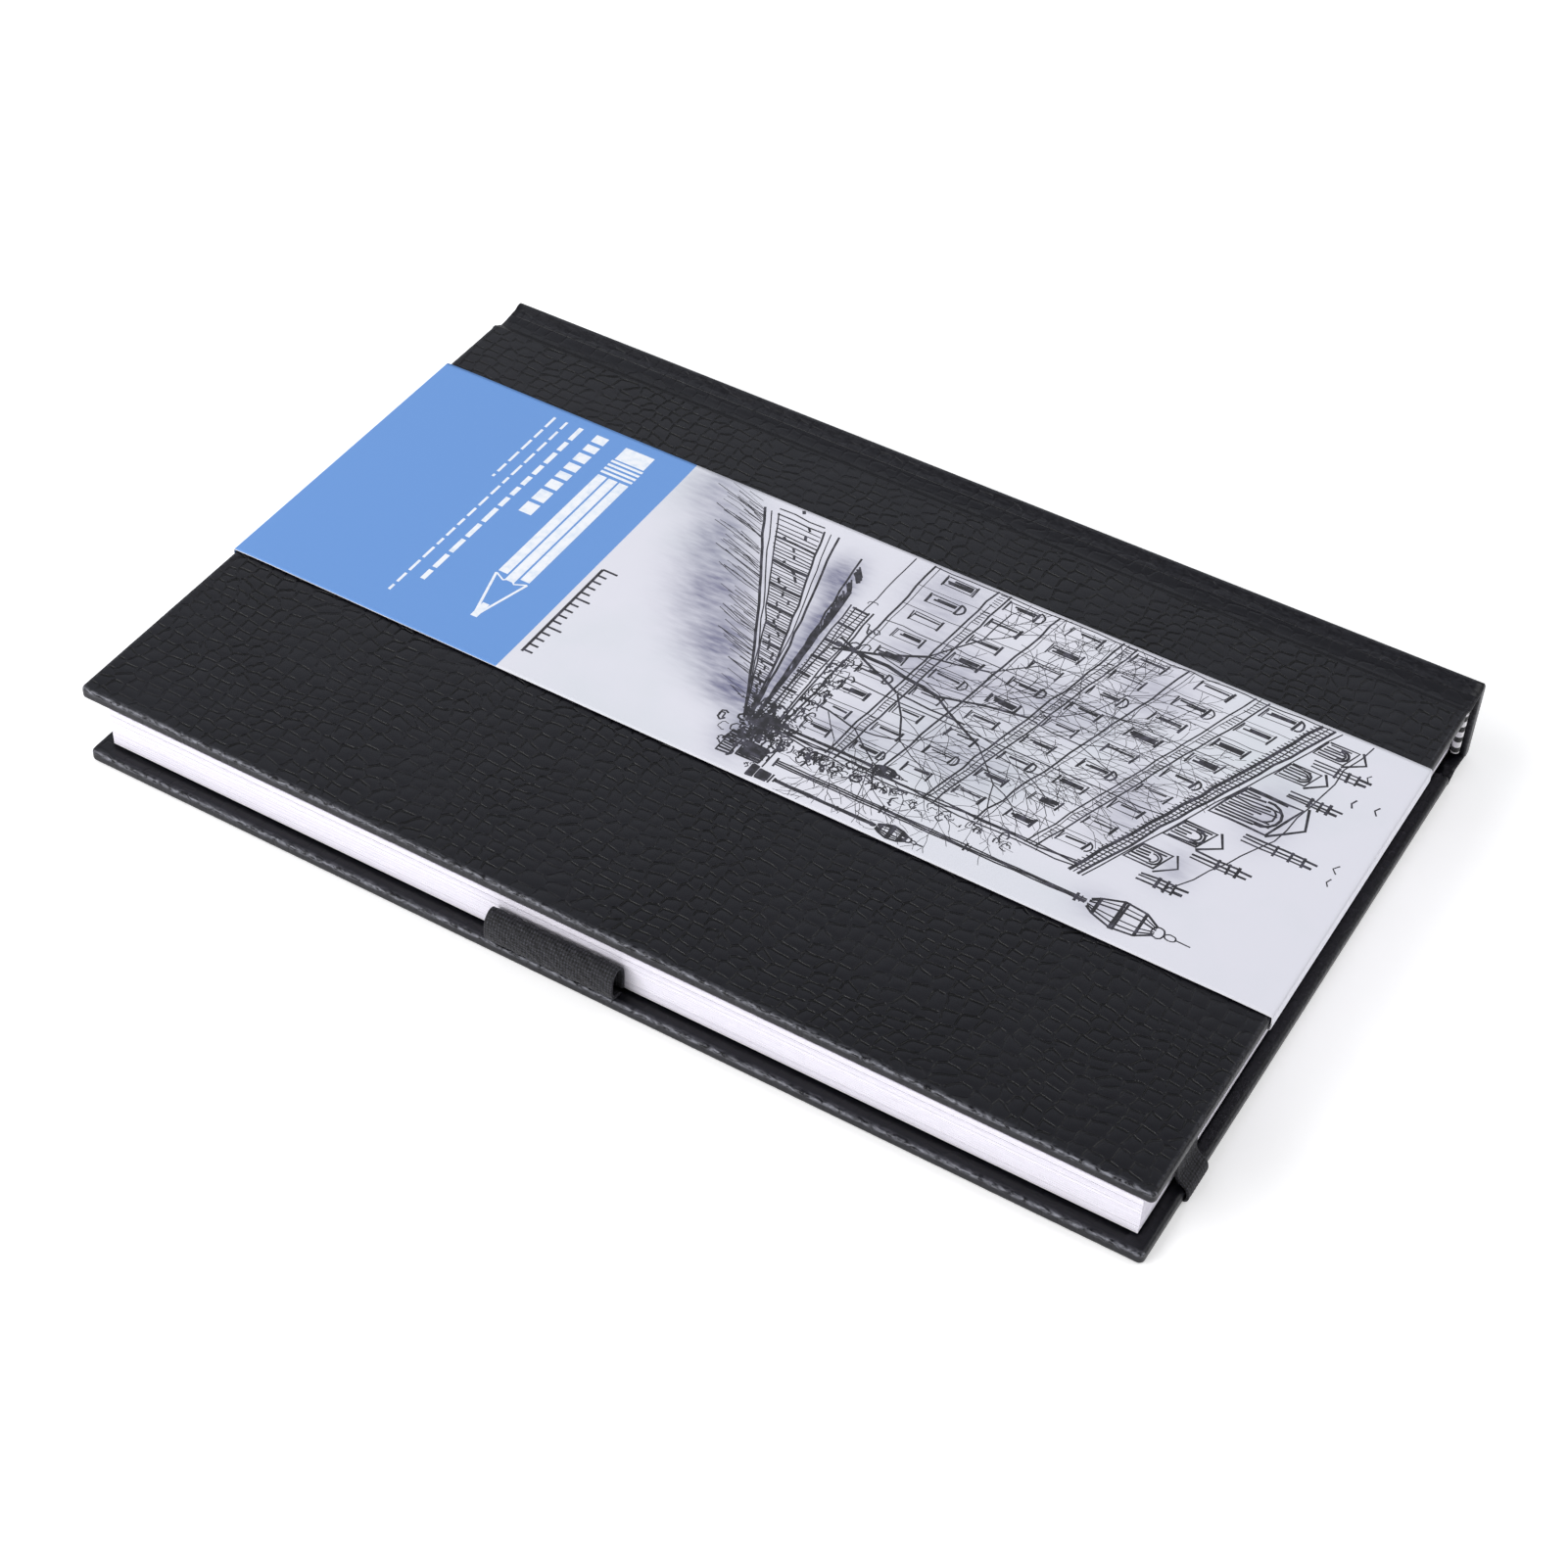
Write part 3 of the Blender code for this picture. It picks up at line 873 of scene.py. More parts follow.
@dataclass
class Cover:
    """One board in its leather, with the joint beside it, rounded rims and turned-in edges."""

    side: Side
    pitch: float = 0.66 * MM
    corner: float = 1.15 * MM
    rim: float = 0.75 * MM
    turn_in: float = 4.0 * MM
    skin: float = 0.35 * MM
    joint_sheet: float = 0.7 * MM
    relief: float = 0.075 * MM
    groove: tuple[tuple[float, float], ...] = (
        (-7.6, 0.70), (-5.6, 0.98), (-4.0, 1.25), (-2.8, 1.36), (-2.0, 1.28),
        (-1.45, 0.78), (-1.0, 0.62), (-0.6, 0.5), (-0.25, 0.12), (0.25, 0.0),
    )
    # Rim value for each row of the outer and the inner rim: gloss, and painted highlight flecks.
    outer_rim_highlight: tuple[float, ...] = (0.35, 1.0, 0.85, 0.2)
    inner_rim_highlight: tuple[float, ...] = (0.0, 0.0, 0.0, 0.0, 0.0)

    def __post_init__(self) -> None:
        """Read the cover's place from the frame."""
        self.box = Box.of(f"{self.side.value}_cover_skin")
        self.board = Box.of(f"{self.side.value}_board")
        self.thickness = self.box.size.z
        self.shoulder = self.board.low.x - 0.6 * MM

    def level(self, depth: np.ndarray | float) -> np.ndarray | float:
        """Return the height that lies a depth inside the cover's outer face."""
        return self.box.high.z - depth if self.side is Side.FRONT else self.box.low.z + depth

    def surface(self, x: np.ndarray) -> np.ndarray:
        """Return the outer surface's depth along X: the groove by the joint, then the flat board."""
        places, depths = np.array(self.groove).T * MM
        return np.interp(x, self.shoulder + places, depths)

    def under(self, x: np.ndarray) -> np.ndarray:
        """Return the inner surface's depth along X."""
        return np.where(x > self.shoulder + 0.55 * MM, self.thickness, self.surface(x) + self.joint_sheet)

    def outline(self, x: np.ndarray, y: np.ndarray, inset: float) -> tuple[np.ndarray, np.ndarray]:
        """Pull points of the grid's border in or out, to a given distance inside the cover's outline.

        Args:
            x: The points' places along X.
            y: The points' places along Y.
            inset: The distance inside the outline.

        Returns:
            The new places along X and Y.
        """
        fore = self.box.high.x
        head = self.box.high.y
        arc_x = fore - self.corner
        arc_y = head - self.corner
        on_fore = x > fore - self.rim - NEAR
        in_corner = (x > arc_x + NEAR / 100) & (np.abs(y) > arc_y + NEAR / 100)
        on_end = np.abs(y) > head - self.rim - NEAR
        turn = np.arctan2(np.abs(y) - arc_y, x - arc_x)
        radius = max(self.corner - inset, 0.0)
        limit_x = fore - max(inset, self.corner)
        limit_y = head - max(inset, self.corner)
        new_x = np.where(on_fore, fore - inset, np.minimum(x, limit_x))
        new_y = np.where(on_end, head - inset, np.minimum(np.abs(y), limit_y))
        new_x = np.where(in_corner, limit_x + radius * np.cos(turn), new_x)
        new_y = np.where(in_corner, limit_y + radius * np.sin(turn), new_y)
        return new_x, new_y * np.sign(y)

    def grid(self) -> tuple[np.ndarray, np.ndarray]:
        """Space the outer face's points, closer at the joint and at the rims.

        Returns:
            The stations along X and along Y.
        """
        fore = self.box.high.x - self.rim
        head = self.box.high.y - self.rim
        edge = self.corner - self.rim
        steps = np.array([1.0, 0.66, 0.33]) * edge
        xs = np.concatenate([
            stations(self.box.low.x, self.shoulder + 0.5 * MM, 0.22 * MM)[:-1],
            stations(self.shoulder + 0.5 * MM, fore - edge, self.pitch)[:-1],
            fore - steps,
            [fore],
        ])
        inner = stations(-head + edge, head - edge, self.pitch)
        ys = np.concatenate([[-head], -head + steps[::-1], inner[1:-1], head - steps, [head]])
        return xs, ys

    def leather(self, finishes: Finishes, press: MeshTree) -> Object:
        """Build the cover's leather as one closed shell round the board.

        Args:
            finishes: The materials.
            press: The tree that embosses the shell.

        Returns:
            The finished piece.
        """
        xs, ys = self.grid()
        wide = len(xs)
        tall = len(ys)
        plan_x, plan_y = (axis.ravel() for axis in np.meshgrid(xs, ys))
        arc_x = self.box.high.x - self.corner
        arc_y = self.box.high.y - self.corner
        reach = self.corner - self.rim
        dx = np.clip((plan_x - arc_x) / reach, 0, None)
        dy = np.clip((np.abs(plan_y) - arc_y) / reach, 0, None)
        shrink = np.where((dx > 0) & (dy > 0), np.maximum(dx, dy) / np.maximum(np.hypot(dx, dy), 1e-9), 1.0)
        round_x = np.where((dx > 0) & (dy > 0), arc_x + dx * shrink * reach, plan_x)
        round_y = np.where((dx > 0) & (dy > 0), np.sign(plan_y) * (arc_y + dy * shrink * reach), plan_y)
        depth = self.surface(plan_x) + self.channels(plan_x, plan_y)
        points = [np.stack([round_x, round_y, self.level(depth)], axis=1)]
        to_edge = np.minimum(self.box.high.x - plan_x, self.box.high.y - np.abs(plan_y)) - self.rim
        in_joint = plan_x < self.shoulder + 0.3 * MM
        emboss = [np.where(in_joint, 0.3, np.clip(0.35 + to_edge / (2 * MM), 0, 1))]
        # The rim value near the outer face's edges: gloss, and a little painted highlight.
        rims = [np.clip(1 - to_edge / (0.3 * MM), 0, 1) * np.where(in_joint, 0.1, 0.15)]
        index = np.arange(wide * tall).reshape(tall, wide)
        quads = np.stack([index[:-1, :-1], index[:-1, 1:], index[1:, 1:], index[1:, :-1]], axis=-1)
        border = np.concatenate([index[0, :], index[1:, -1], index[-1, -2::-1], index[-2:0:-1, 0]])
        rows = [border]
        bx = plan_x[border]
        by = plan_y[border]
        on_spine = bx < self.box.low.x + NEAR
        keep_y = on_spine & (np.abs(by) < self.box.high.y - self.rim - NEAR)
        count = wide * tall
        for inset, level, gloss_and_highlight in self.profile(self.surface(bx), self.under(bx)):
            px, py = self.outline(bx, by, inset)
            px = np.where(on_spine, bx, px)
            py = np.where(keep_y, np.clip(by, -self.box.high.y + inset, self.box.high.y - inset), py)
            points.append(np.stack([px, py, self.level(level)], axis=1))
            emboss.append(np.full(len(bx), 0.2))
            # Painted highlight flecks mostly along the fore edge, where the rim catches the light; faint on
            # the ends, none on the spine.
            along_fore = bx > self.box.high.x - self.corner
            rims.append(np.where(on_spine, 0.0, np.where(along_fore, gloss_and_highlight, 0.12 * gloss_and_highlight)))
            rows.append(np.arange(count, count + len(bx)))
            count += len(bx)
        faces = quads.reshape(-1, 4).tolist() + loft(rows) + self.floor(rows[-1], wide, tall)
        base = mesh_piece(
            "cover_leather_base", np.concatenate(points), faces, finishes.leather,
            {"emboss": np.concatenate(emboss), "rim": np.concatenate(rims)}, merge=TINY,
        )
        name = f"{self.side.value}_cover_leather"
        return press.run(base, {"Depth": self.relief, "Material": finishes.leather}, name)

    def profile(self, top: np.ndarray, bottom: np.ndarray) -> list[tuple[float, np.ndarray, float]]:
        """Follow the leather from the outer face round the rim, to the turned-in edge.

        Args:
            top: The outer surface's depth at each border point.
            bottom: The inner surface's depth there.

        Returns:
            For each row its distance inside the outline, its depth and its rim value for gloss and painted
            highlight.
        """
        upper, lower = self.outer_rim_highlight, self.inner_rim_highlight
        if self.side is Side.BACK:
            upper, lower = lower[:4], (*upper[::-1], 0.2)
        depth = np.minimum(self.rim, (bottom - top) * 0.45)
        rows: list[tuple[float, np.ndarray, float]] = []
        for angle, rim_highlight in zip(np.radians([22.5, 45, 67.5, 90]), upper):
            rows.append((self.rim * (1 - math.sin(angle)), top + depth * (1 - math.cos(angle)), rim_highlight))
        rows.append((0.0, (top + bottom) / 2, 0.0))
        for angle, rim_highlight in zip(np.radians([90, 67.5, 45, 22.5, 0]), lower):
            rows.append((self.rim * (1 - math.sin(angle)), bottom - depth * (1 - math.cos(angle)), rim_highlight))
        edge = np.maximum(bottom - self.skin, top + self.skin / 2)
        return rows + [(self.corner, bottom, 0.0), (self.turn_in, bottom, 0.0), (self.turn_in, edge, 0.0)]

    def floor(self, ring: np.ndarray, wide: int, tall: int) -> Faces:
        """Close the shell's inner side with strips from tail to head.

        Args:
            ring: The last border row, from the spine's tail corner round by the fore edge.
            wide: Stations along X.
            tall: Stations along Y.

        Returns:
            The strips' faces.
        """
        tail = ring[:wide]
        fore = ring[wide:wide + tall - 2]
        head = ring[wide + tall - 2:2 * wide + tall - 2][::-1]
        spine = ring[2 * wide + tall - 2:]
        strips = []
        for step in range(wide - 1):
            face = [tail[step], tail[step + 1]]
            if step == wide - 2:
                face += list(fore)
            face += [head[step + 1], head[step]]
            if step == 0:
                face += list(spine)
            strips.append([int(corner) for corner in face])
        return strips

    def channels(self, x: np.ndarray, y: np.ndarray) -> np.ndarray:
        """Sink the two strap channels into the back cover's outer face.

        Args:
            x: Places along X.
            y: Places along Y.

        Returns:
            The extra depth at each place.
        """
        if self.side is Side.FRONT:
            return np.zeros_like(x)
        leg = Box.of("strap_leg_head")
        room = 0.25 * MM
        across = (x > leg.low.x - room) & (x < leg.high.x + room)
        along = np.abs(y) > leg.low.y - room
        return np.where(across & along, 0.95 * MM, 0.0)

    def dress(self, finishes: Finishes, press: MeshTree) -> list[Object]:
        """Build the leather, finish the board and pastedown, and ride the leather on the cover.

        Args:
            finishes: The materials.
            press: The tree that embosses the leather.

        Returns:
            The leather.
        """
        side = self.side.value
        piece = self.leather(finishes, press)
        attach(piece, f"{side}_cover")
        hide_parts(f"{side}_cover_skin")
        repaint(f"{side}_board", finishes.greyboard)
        repaint(f"{side}_pastedown", finishes.endpaper)
        return [piece]


@dataclass
class Spine:
    """The spine's board in its leather, with half-round edges, and the two hinge folds beside it."""

    pitch: float = 0.66 * MM
    arc_steps: int = 10
    end_round: float = 0.5 * MM
    fold_thickness: float = 0.22 * MM
    lift: float = 0.05 * MM
    relief: float = 0.05 * MM

    def __post_init__(self) -> None:
        """Read the spine's place from the frame."""
        self.box = Box.of("spine_skin")
        self.radius = self.box.size.x / 2

    def profile(self) -> np.ndarray:
        """Draw the spine's outline, a stadium, once round from its outer face's foot.

        Returns:
            Points in X and Z.
        """
        middle = self.box.low.x + self.radius
        bottom = self.box.low.z + self.radius
        top = self.box.high.z - self.radius
        outer = stations(bottom, top, self.pitch)
        rows = []
        ends = ((self.box.low.x, outer, math.pi, 0, top), (self.box.high.x, outer[::-1], 0, -math.pi, bottom))
        for x, rise, start, stop, z in ends:
            turn = np.linspace(start, stop, self.arc_steps + 1)[1:-1]
            rows.append(np.stack([np.full(len(rise), x), rise], axis=1))
            rows.append(np.stack([np.cos(turn), np.sin(turn)], axis=1) * self.radius + (middle, z))
        return np.concatenate(rows)

    def leather(self, finishes: Finishes, press: MeshTree) -> Object:
        """Build the spine's leather as a closed bar with softly rounded ends.

        Args:
            finishes: The materials.
            press: The tree that embosses the leather.

        Returns:
            The finished piece.
        """
        ring = self.profile()
        middle = np.stack([
            np.full(len(ring), self.box.low.x + self.radius),
            np.clip(ring[:, 1], self.box.low.z + self.radius, self.box.high.z - self.radius),
        ], axis=1)
        head = self.box.high.y
        inner = stations(-head + self.end_round, head - self.end_round, self.pitch)
        angles = np.radians([0, 30, 60, 90])
        caps = [(head - self.end_round * (1 - math.cos(a)), 1 - 0.37 * (1 - math.sin(a))) for a in angles]
        rows = [(-y, scale) for y, scale in caps] + [(y, 1.0) for y in inner[1:-1]] + [*reversed(caps)]
        points, faces = bar([upright(middle + (ring - middle) * scale, y) for y, scale in rows])
        outside = points[:, 0] < self.box.low.x + TINY
        # Rim value: gloss and painted highlight flecks towards the spine's ends, faint on its inner faces.
        rim = np.clip((np.abs(points[:, 1]) - head + 1.2 * MM) / (1.0 * MM), 0, 1)
        rim_highlight = np.maximum(0.2 * rim, np.where(outside, 0, 0.05))
        base = mesh_piece(
            "spine_leather_base", points, faces, finishes.leather,
            {"emboss": np.where(outside, 0.75, 0.25), "rim": rim_highlight},
        )
        return press.run(base, {"Depth": self.relief, "Material": finishes.leather}, "spine_leather")

    def fold(self, side: Side, finishes: Finishes) -> Object:
        """Build the strip of leather that bends between the spine's edge and one cover's joint.

        Args:
            side: Which cover the strip leads to.
            finishes: The materials.

        Returns:
            The strip, with its placement baked into its points.
        """
        cover = Cover(side)
        hinge_x = self.box.low.x + self.radius
        lip = cover.box.low.x
        rise = np.linspace(math.radians(125), math.radians(62), 8)
        arc_x = hinge_x + (self.radius + self.lift) * np.cos(rise)
        arc_depth = self.radius - (self.radius + self.lift) * np.sin(rise)
        run_x = np.linspace(lip + 0.15 * MM, lip + 1.6 * MM, 6)
        run_depth = cover.surface(run_x) - self.lift
        xs = np.concatenate([arc_x, run_x])
        depths = np.concatenate([arc_depth, run_depth])
        level = np.array(cover.level(depths))
        route = np.stack([xs, level], axis=1)
        along = np.gradient(route, axis=0)
        along /= np.linalg.norm(along, axis=1)[:, None]
        inward = np.stack([along[:, 1], -along[:, 0]], axis=1)
        if side is Side.BACK:
            inward = -inward
        inner = route + inward * self.fold_thickness
        ring = np.concatenate([route, inner[::-1]])
        head = self.box.high.y - self.end_round / 2
        ys = stations(-head, head, 2 * MM)
        points, faces = bar([upright(ring, y) for y in ys])
        # A faint rim value: a little gloss and painted highlight flecks.
        piece = mesh_piece(
            f"{side.value}_hinge_leather", points, faces, finishes.leather,
            {"emboss": np.full(len(points), 0.3), "rim": np.full(len(points), 0.05)},
        )
        if side is Side.FRONT:
            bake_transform(piece)
        else:
            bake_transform(piece)
        return piece

    def dress(self, finishes: Finishes, press: MeshTree) -> list[Object]:
        """Build the spine's leather and its folds, and finish what is inside it.

        Args:
            finishes: The materials.
            press: The tree that embosses the leather.

        Returns:
            The leather and the two folds.
        """
        piece = self.leather(finishes, press)
        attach(piece, "spine")
        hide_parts("spine_skin")
        repaint("spine_board", finishes.greyboard)
        repaint("spine_inner_lining", finishes.kraft)
        return [piece, self.fold(Side.FRONT, finishes), self.fold(Side.BACK, finishes)]


@dataclass
class LeafBlock:
    """The sewn block: eight sections of ten leaves, with a flyleaf at each end."""

    leaves: int = 10
    air: float = 0.004 * MM
    jitter: float = 0.09 * MM
    above_strap: tuple[float, ...] = (0.22, 0.48, 0.80)

    def tree(self) -> MeshTree:
        """Make the tree that stacks a section's leaves and lets them sag beside the strap.

        Returns:
            The tree, which takes one leaf.
        """
        tree = MeshTree("stacked leaves", {
            "Leaves": self.leaves, "Pitch": 0.13 * MM, "Slip": self.jitter, "Seed": 1, "Sag": 0.0,
            "Strap X": 0.0, "Material": None,
        })
        offset = tree.out("ShaderNodeCombineXYZ", {"Z": tree.given["Pitch"]})
        line = tree.out("GeometryNodeMeshLine", {"Count": tree.given["Leaves"], "Offset": offset})
        stack = tree.out("GeometryNodeInstanceOnPoints", {"Points": line, "Instance": tree.given["Geometry"]})
        reach = ((-1.0, -0.7, 0.0), (0.25, 0.7, 0.0))
        low, high = (tree.scaled(corner, tree.given["Slip"]) for corner in reach)
        number = tree.out("GeometryNodeInputIndex")
        slip = tree.out(
            "FunctionNodeRandomValue", {0: low, 1: high, "ID": number, "Seed": tree.given["Seed"]},
            data_type="FLOAT_VECTOR",
        )
        shifted = tree.out("GeometryNodeTranslateInstances", {0: stack, "Translation": slip})
        real = tree.out("GeometryNodeRealizeInstances", {0: shifted})
        beside = tree.math("SUBTRACT", tree.split(tree.place())["X"], tree.given["Strap X"])
        away = tree.math("ABSOLUTE", beside)
        eased = tree.spread(away, 4.4 * MM, 15.5 * MM, curve="SMOOTHSTEP")
        drop = tree.math("MULTIPLY", tree.math("MULTIPLY", eased, tree.given["Sag"]), -1.0)
        fall = tree.out("ShaderNodeCombineXYZ", {"Z": drop})
        return tree.finish(tree.out("GeometryNodeSetPosition", {"Geometry": real, "Offset": fall}))

    def leaf(self, box: Box, thickness: float, across: int) -> Object:
        """Build one leaf as a thin closed slab, with stations across it where it may sag.

        Args:
            box: The section's box.
            thickness: The leaf's thickness.
            across: How many strips it has from the spine to the fore edge.

        Returns:
            The leaf.
        """
        xs = np.linspace(box.low.x, box.high.x, across + 1)
        ring = np.concatenate([
            np.stack([xs, np.full(len(xs), box.low.z)], axis=1),
            np.stack([xs[::-1], np.full(len(xs), box.low.z + thickness)], axis=1),
        ])
        points, faces = bar([upright(ring, box.low.y), upright(ring, box.high.y)])
        made = mesh_piece("leaf", points, faces, bpy.data.materials[0])
        made.data.shade_flat()
        return made

    def section(self, number: int, tree: MeshTree, finishes: Finishes) -> Object:
        """Build one section and ride it on its body.

        Args:
            number: The section's number, from 1 under the front cover.
            tree: The tree that stacks the leaves.
            finishes: The materials.

        Returns:
            The section.
        """
        node = f"section_{number}"
        box = Box.of(node)
        pitch = box.size.z / self.leaves
        sag = self.above_strap[number - 1] * MM if number <= len(self.above_strap) else 0.0
        leaf = self.leaf(box, pitch - self.air, 36 if sag else 2)
        values = {
            "Leaves": self.leaves, "Pitch": pitch, "Slip": self.jitter, "Seed": 7 + number, "Sag": sag,
            "Strap X": Box.of("elastic_strap").centre.x, "Material": finishes.leaves,
        }
        piece = tree.run(leaf, values, f"{node}_leaves")
        piece.data.shade_flat()
        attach(piece, node if sag else "back_cover")
        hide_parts(node)
        return piece

    def dress(self, finishes: Finishes) -> list[Object]:
        """Build every section and finish the flyleaves.

        Args:
            finishes: The materials.

        Returns:
            The sections.
        """
        tree = self.tree()
        made = [self.section(number, tree, finishes) for number in range(1, 9)]
        repaint("front_flyleaf", finishes.endpaper)
        repaint("back_flyleaf", finishes.endpaper)
        return made


@dataclass
class Bindings:
    """What holds the block at its back: two silk bands, gauze, kraft paper and thread."""

    wrap: float = 0.31 * MM
    keep: float = 0.025
    core_keep: float = 0.57
    guard_ply: float = 0.04 * MM
    guard_reach: float = 9.5 * MM
    tape: float = 0.25 * MM

    def hold(self, piece: Object, node: str) -> Object:
        """Ride a piece on the back cover.

        Args:
            piece: The finished piece.
            node: The CAD node it stands for.

        Returns:
            The piece.
        """
        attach(piece, "back_cover")
        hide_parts(node)
        Box.of(node).low.z
        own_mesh(piece)
        return piece

    def lining(self, node: str, material: Material, weave: float) -> Object:
        """Build a strip glued up the back of the block, with the ribs of a weave where it has one.

        Args:
            node: The CAD node it stands for.
            material: Its finish.
            weave: The spacing of the weave's threads, or 0 for paper.

        Returns:
            The strip.
        """
        box = Box.of(node)
        rib = 0.05 * MM if weave else 0.0
        pitch = weave / 4 if weave else 3 * MM
        thread = max(weave, MM)
        route = straight(box.centre.x, stations(box.low.y, box.high.y, pitch), box.centre.z)

        def relief(run: np.ndarray, width: np.ndarray) -> np.ndarray:
            """Return the ribs' height."""
            return rib * np.maximum(np.cos(run / thread * math.tau), np.cos(width / thread * math.tau))

        across = stations(-box.size.z / 2, box.size.z / 2, pitch)
        return strip(f"{node}_strip", route, UP, across, box.size.x - 2 * rib, material, relief)

    def stitches(self, node: str, material: Material) -> Object:
        """Build one sewing station: linen threads side by side, from the first section to the last.

        Args:
            node: The CAD node it stands for.
            material: Its finish.

        Returns:
            The threads.
        """
        box = Box.of(node)
        radius = box.size.x / 2
        work = bmesh.new()
        for y in stations(box.low.y + radius, box.high.y - radius, 0.45 * MM):
            place = Matrix.Translation((box.centre.x, y, box.centre.z))
            bmesh.ops.create_cone(
                work, cap_ends=True, segments=10, radius1=radius, radius2=radius, depth=box.size.z,
                matrix=place,
            )
        made = from_bmesh(f"{node}_threads", work)
        made.data.materials.append(material)
        return made

    def gutter(self, finishes: Finishes) -> Object:
        """Build the folded guard leaf that crosses the open gutter from section 4 to section 3.

        Args:
            finishes: The materials.

        Returns:
            The guard leaf, with its placement baked into its points.
        """
        lower = Box.of("section_4")
        z0 = lower.high.z + 0.05 * MM
        z1 = z0 + 0.09 * MM
        back = lower.low.x + 0.1 * MM
        bulge = 0.02 * MM
        flat = stations(back + 0.06 * MM, lower.low.x + self.guard_reach, 1 * MM)
        turn = [(back, 0, z0 + bulge), (back - bulge, 0, (z0 + z1) / 2), (back, 0, z1 - bulge)]
        rows = np.array([(x, 0, z0) for x in flat[::-1]] + turn + [(x, 0, z1) for x in flat], float)
        across = stations(lower.low.y, lower.high.y, 6 * MM)
        piece = strip("gutter_guard_leaf", rows, HEADWARD, across, self.guard_ply, finishes.leaves)
        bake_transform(piece)
        return piece

    def tree(self) -> MeshTree:
        """Make the tree that winds thread round a headband's core, one ring for each turn.

        Returns:
            The tree, which takes the core.
        """
        tree = MeshTree("wound thread", {
            "Turns": 40, "Pitch": self.wrap, "Core": 0.9 * MM, "Start": (0.0, 0.0, 0.0), "Material": None,
        })
        step = tree.out("ShaderNodeCombineXYZ", {"Z": tree.given["Pitch"]})
        row = {"Count": tree.given["Turns"], "Start Location": tree.given["Start"], "Offset": step}
        line = tree.out("GeometryNodeMeshLine", row)
        half = tree.math("MULTIPLY", tree.given["Pitch"], 0.56)
        inner = tree.math("SUBTRACT", tree.given["Core"], half)
        loop, strand = (
            tree.out("GeometryNodeCurvePrimitiveCircle", {"Resolution": count, "Radius": reach}, mode="RADIUS")
            for count, reach in ((20, inner), (8, half))
        )
        turn = tree.out("GeometryNodeCurveToMesh", {"Curve": loop, "Profile Curve": strand})
        rings = tree.out("GeometryNodeInstanceOnPoints", {"Points": line, "Instance": turn})
        both = tree.add("GeometryNodeJoinGeometry", {0: rings})
        tree.wire(both, {0: tree.given["Geometry"]})
        return tree.finish(both.outputs[0])

    def band(self, end: End, tree: MeshTree, finishes: Finishes) -> list[Object]:
        """Build one band: a wound core over the leaf ends and the tape that is glued to the block's back.

        Args:
            end: The end of the book.
            tree: The tree that winds the thread.
            finishes: The materials.

        Returns:
            The core and the tape.
        """
        node = "head_band" if end is End.HEAD else "tail_band"
        box = Box.of(node)
        radius = box.size.x / 2
        core_y = box.high.y - radius if end is End.HEAD else box.low.y + radius
        away = box.low.y if end is End.HEAD else box.high.y
        reach = sorted((away, core_y - radius if end is End.HEAD else core_y + radius))
        across = stations(-box.size.z / 2 + 0.1 * MM, box.size.z / 2 - 0.1 * MM, 0.5 * MM)
        line = straight(box.low.x + self.tape / 2, stations(*reach, 1 * MM), box.centre.z)
        back = strip(f"{node}_tape", line, UP, across, self.tape, finishes.silk)
        work = bmesh.new()
        cube = bmesh.ops.create_cube(work, size=1.0)["verts"]
        bmesh.ops.scale(work, vec=(1.2 * radius, 1.2 * radius, box.size.z - 0.2 * MM), verts=cube)
        bmesh.ops.translate(work, vec=(box.low.x + radius, core_y, box.centre.z), verts=cube)
        turns = int((box.size.z - self.wrap) / self.wrap)
        values = {
            "Turns": turns, "Pitch": self.wrap, "Core": radius,
            "Start": (box.low.x + radius, core_y, box.low.z + self.wrap / 2), "Material": finishes.silk,
        }
        core = tree.run(from_bmesh("band_base", work), values, f"{node}_silk")
        return [
            self.hold(core, node),
            self.hold(back, node),
        ]

    def dress(self, finishes: Finishes) -> list[Object]:
        """Build both bands, the linings, the threads and the guard leaf over the gutter.

        Args:
            finishes: The materials.

        Returns:
            Every piece.
        """
        tree = self.tree()
        made = [piece for end in End for piece in self.band(end, tree, finishes)]
        kraft = self.lining("kraft_lining", finishes.kraft, 0.0)
        gauze = self.lining("spine_gauze", finishes.gauze, 1.6 * MM)
        threads = [self.stitches(f"sewing_thread_{station}", finishes.gauze) for station in range(1, 6)]
        made.append(self.hold(kraft, "kraft_lining"))
        made.append(self.hold(gauze, "spine_gauze"))
        size = Box.of("spine_gauze").size
        for number, thread in enumerate(threads, 1):
            made.append(self.hold(thread, f"sewing_thread_{number}"))
        made.append(self.gutter(finishes))
        return made


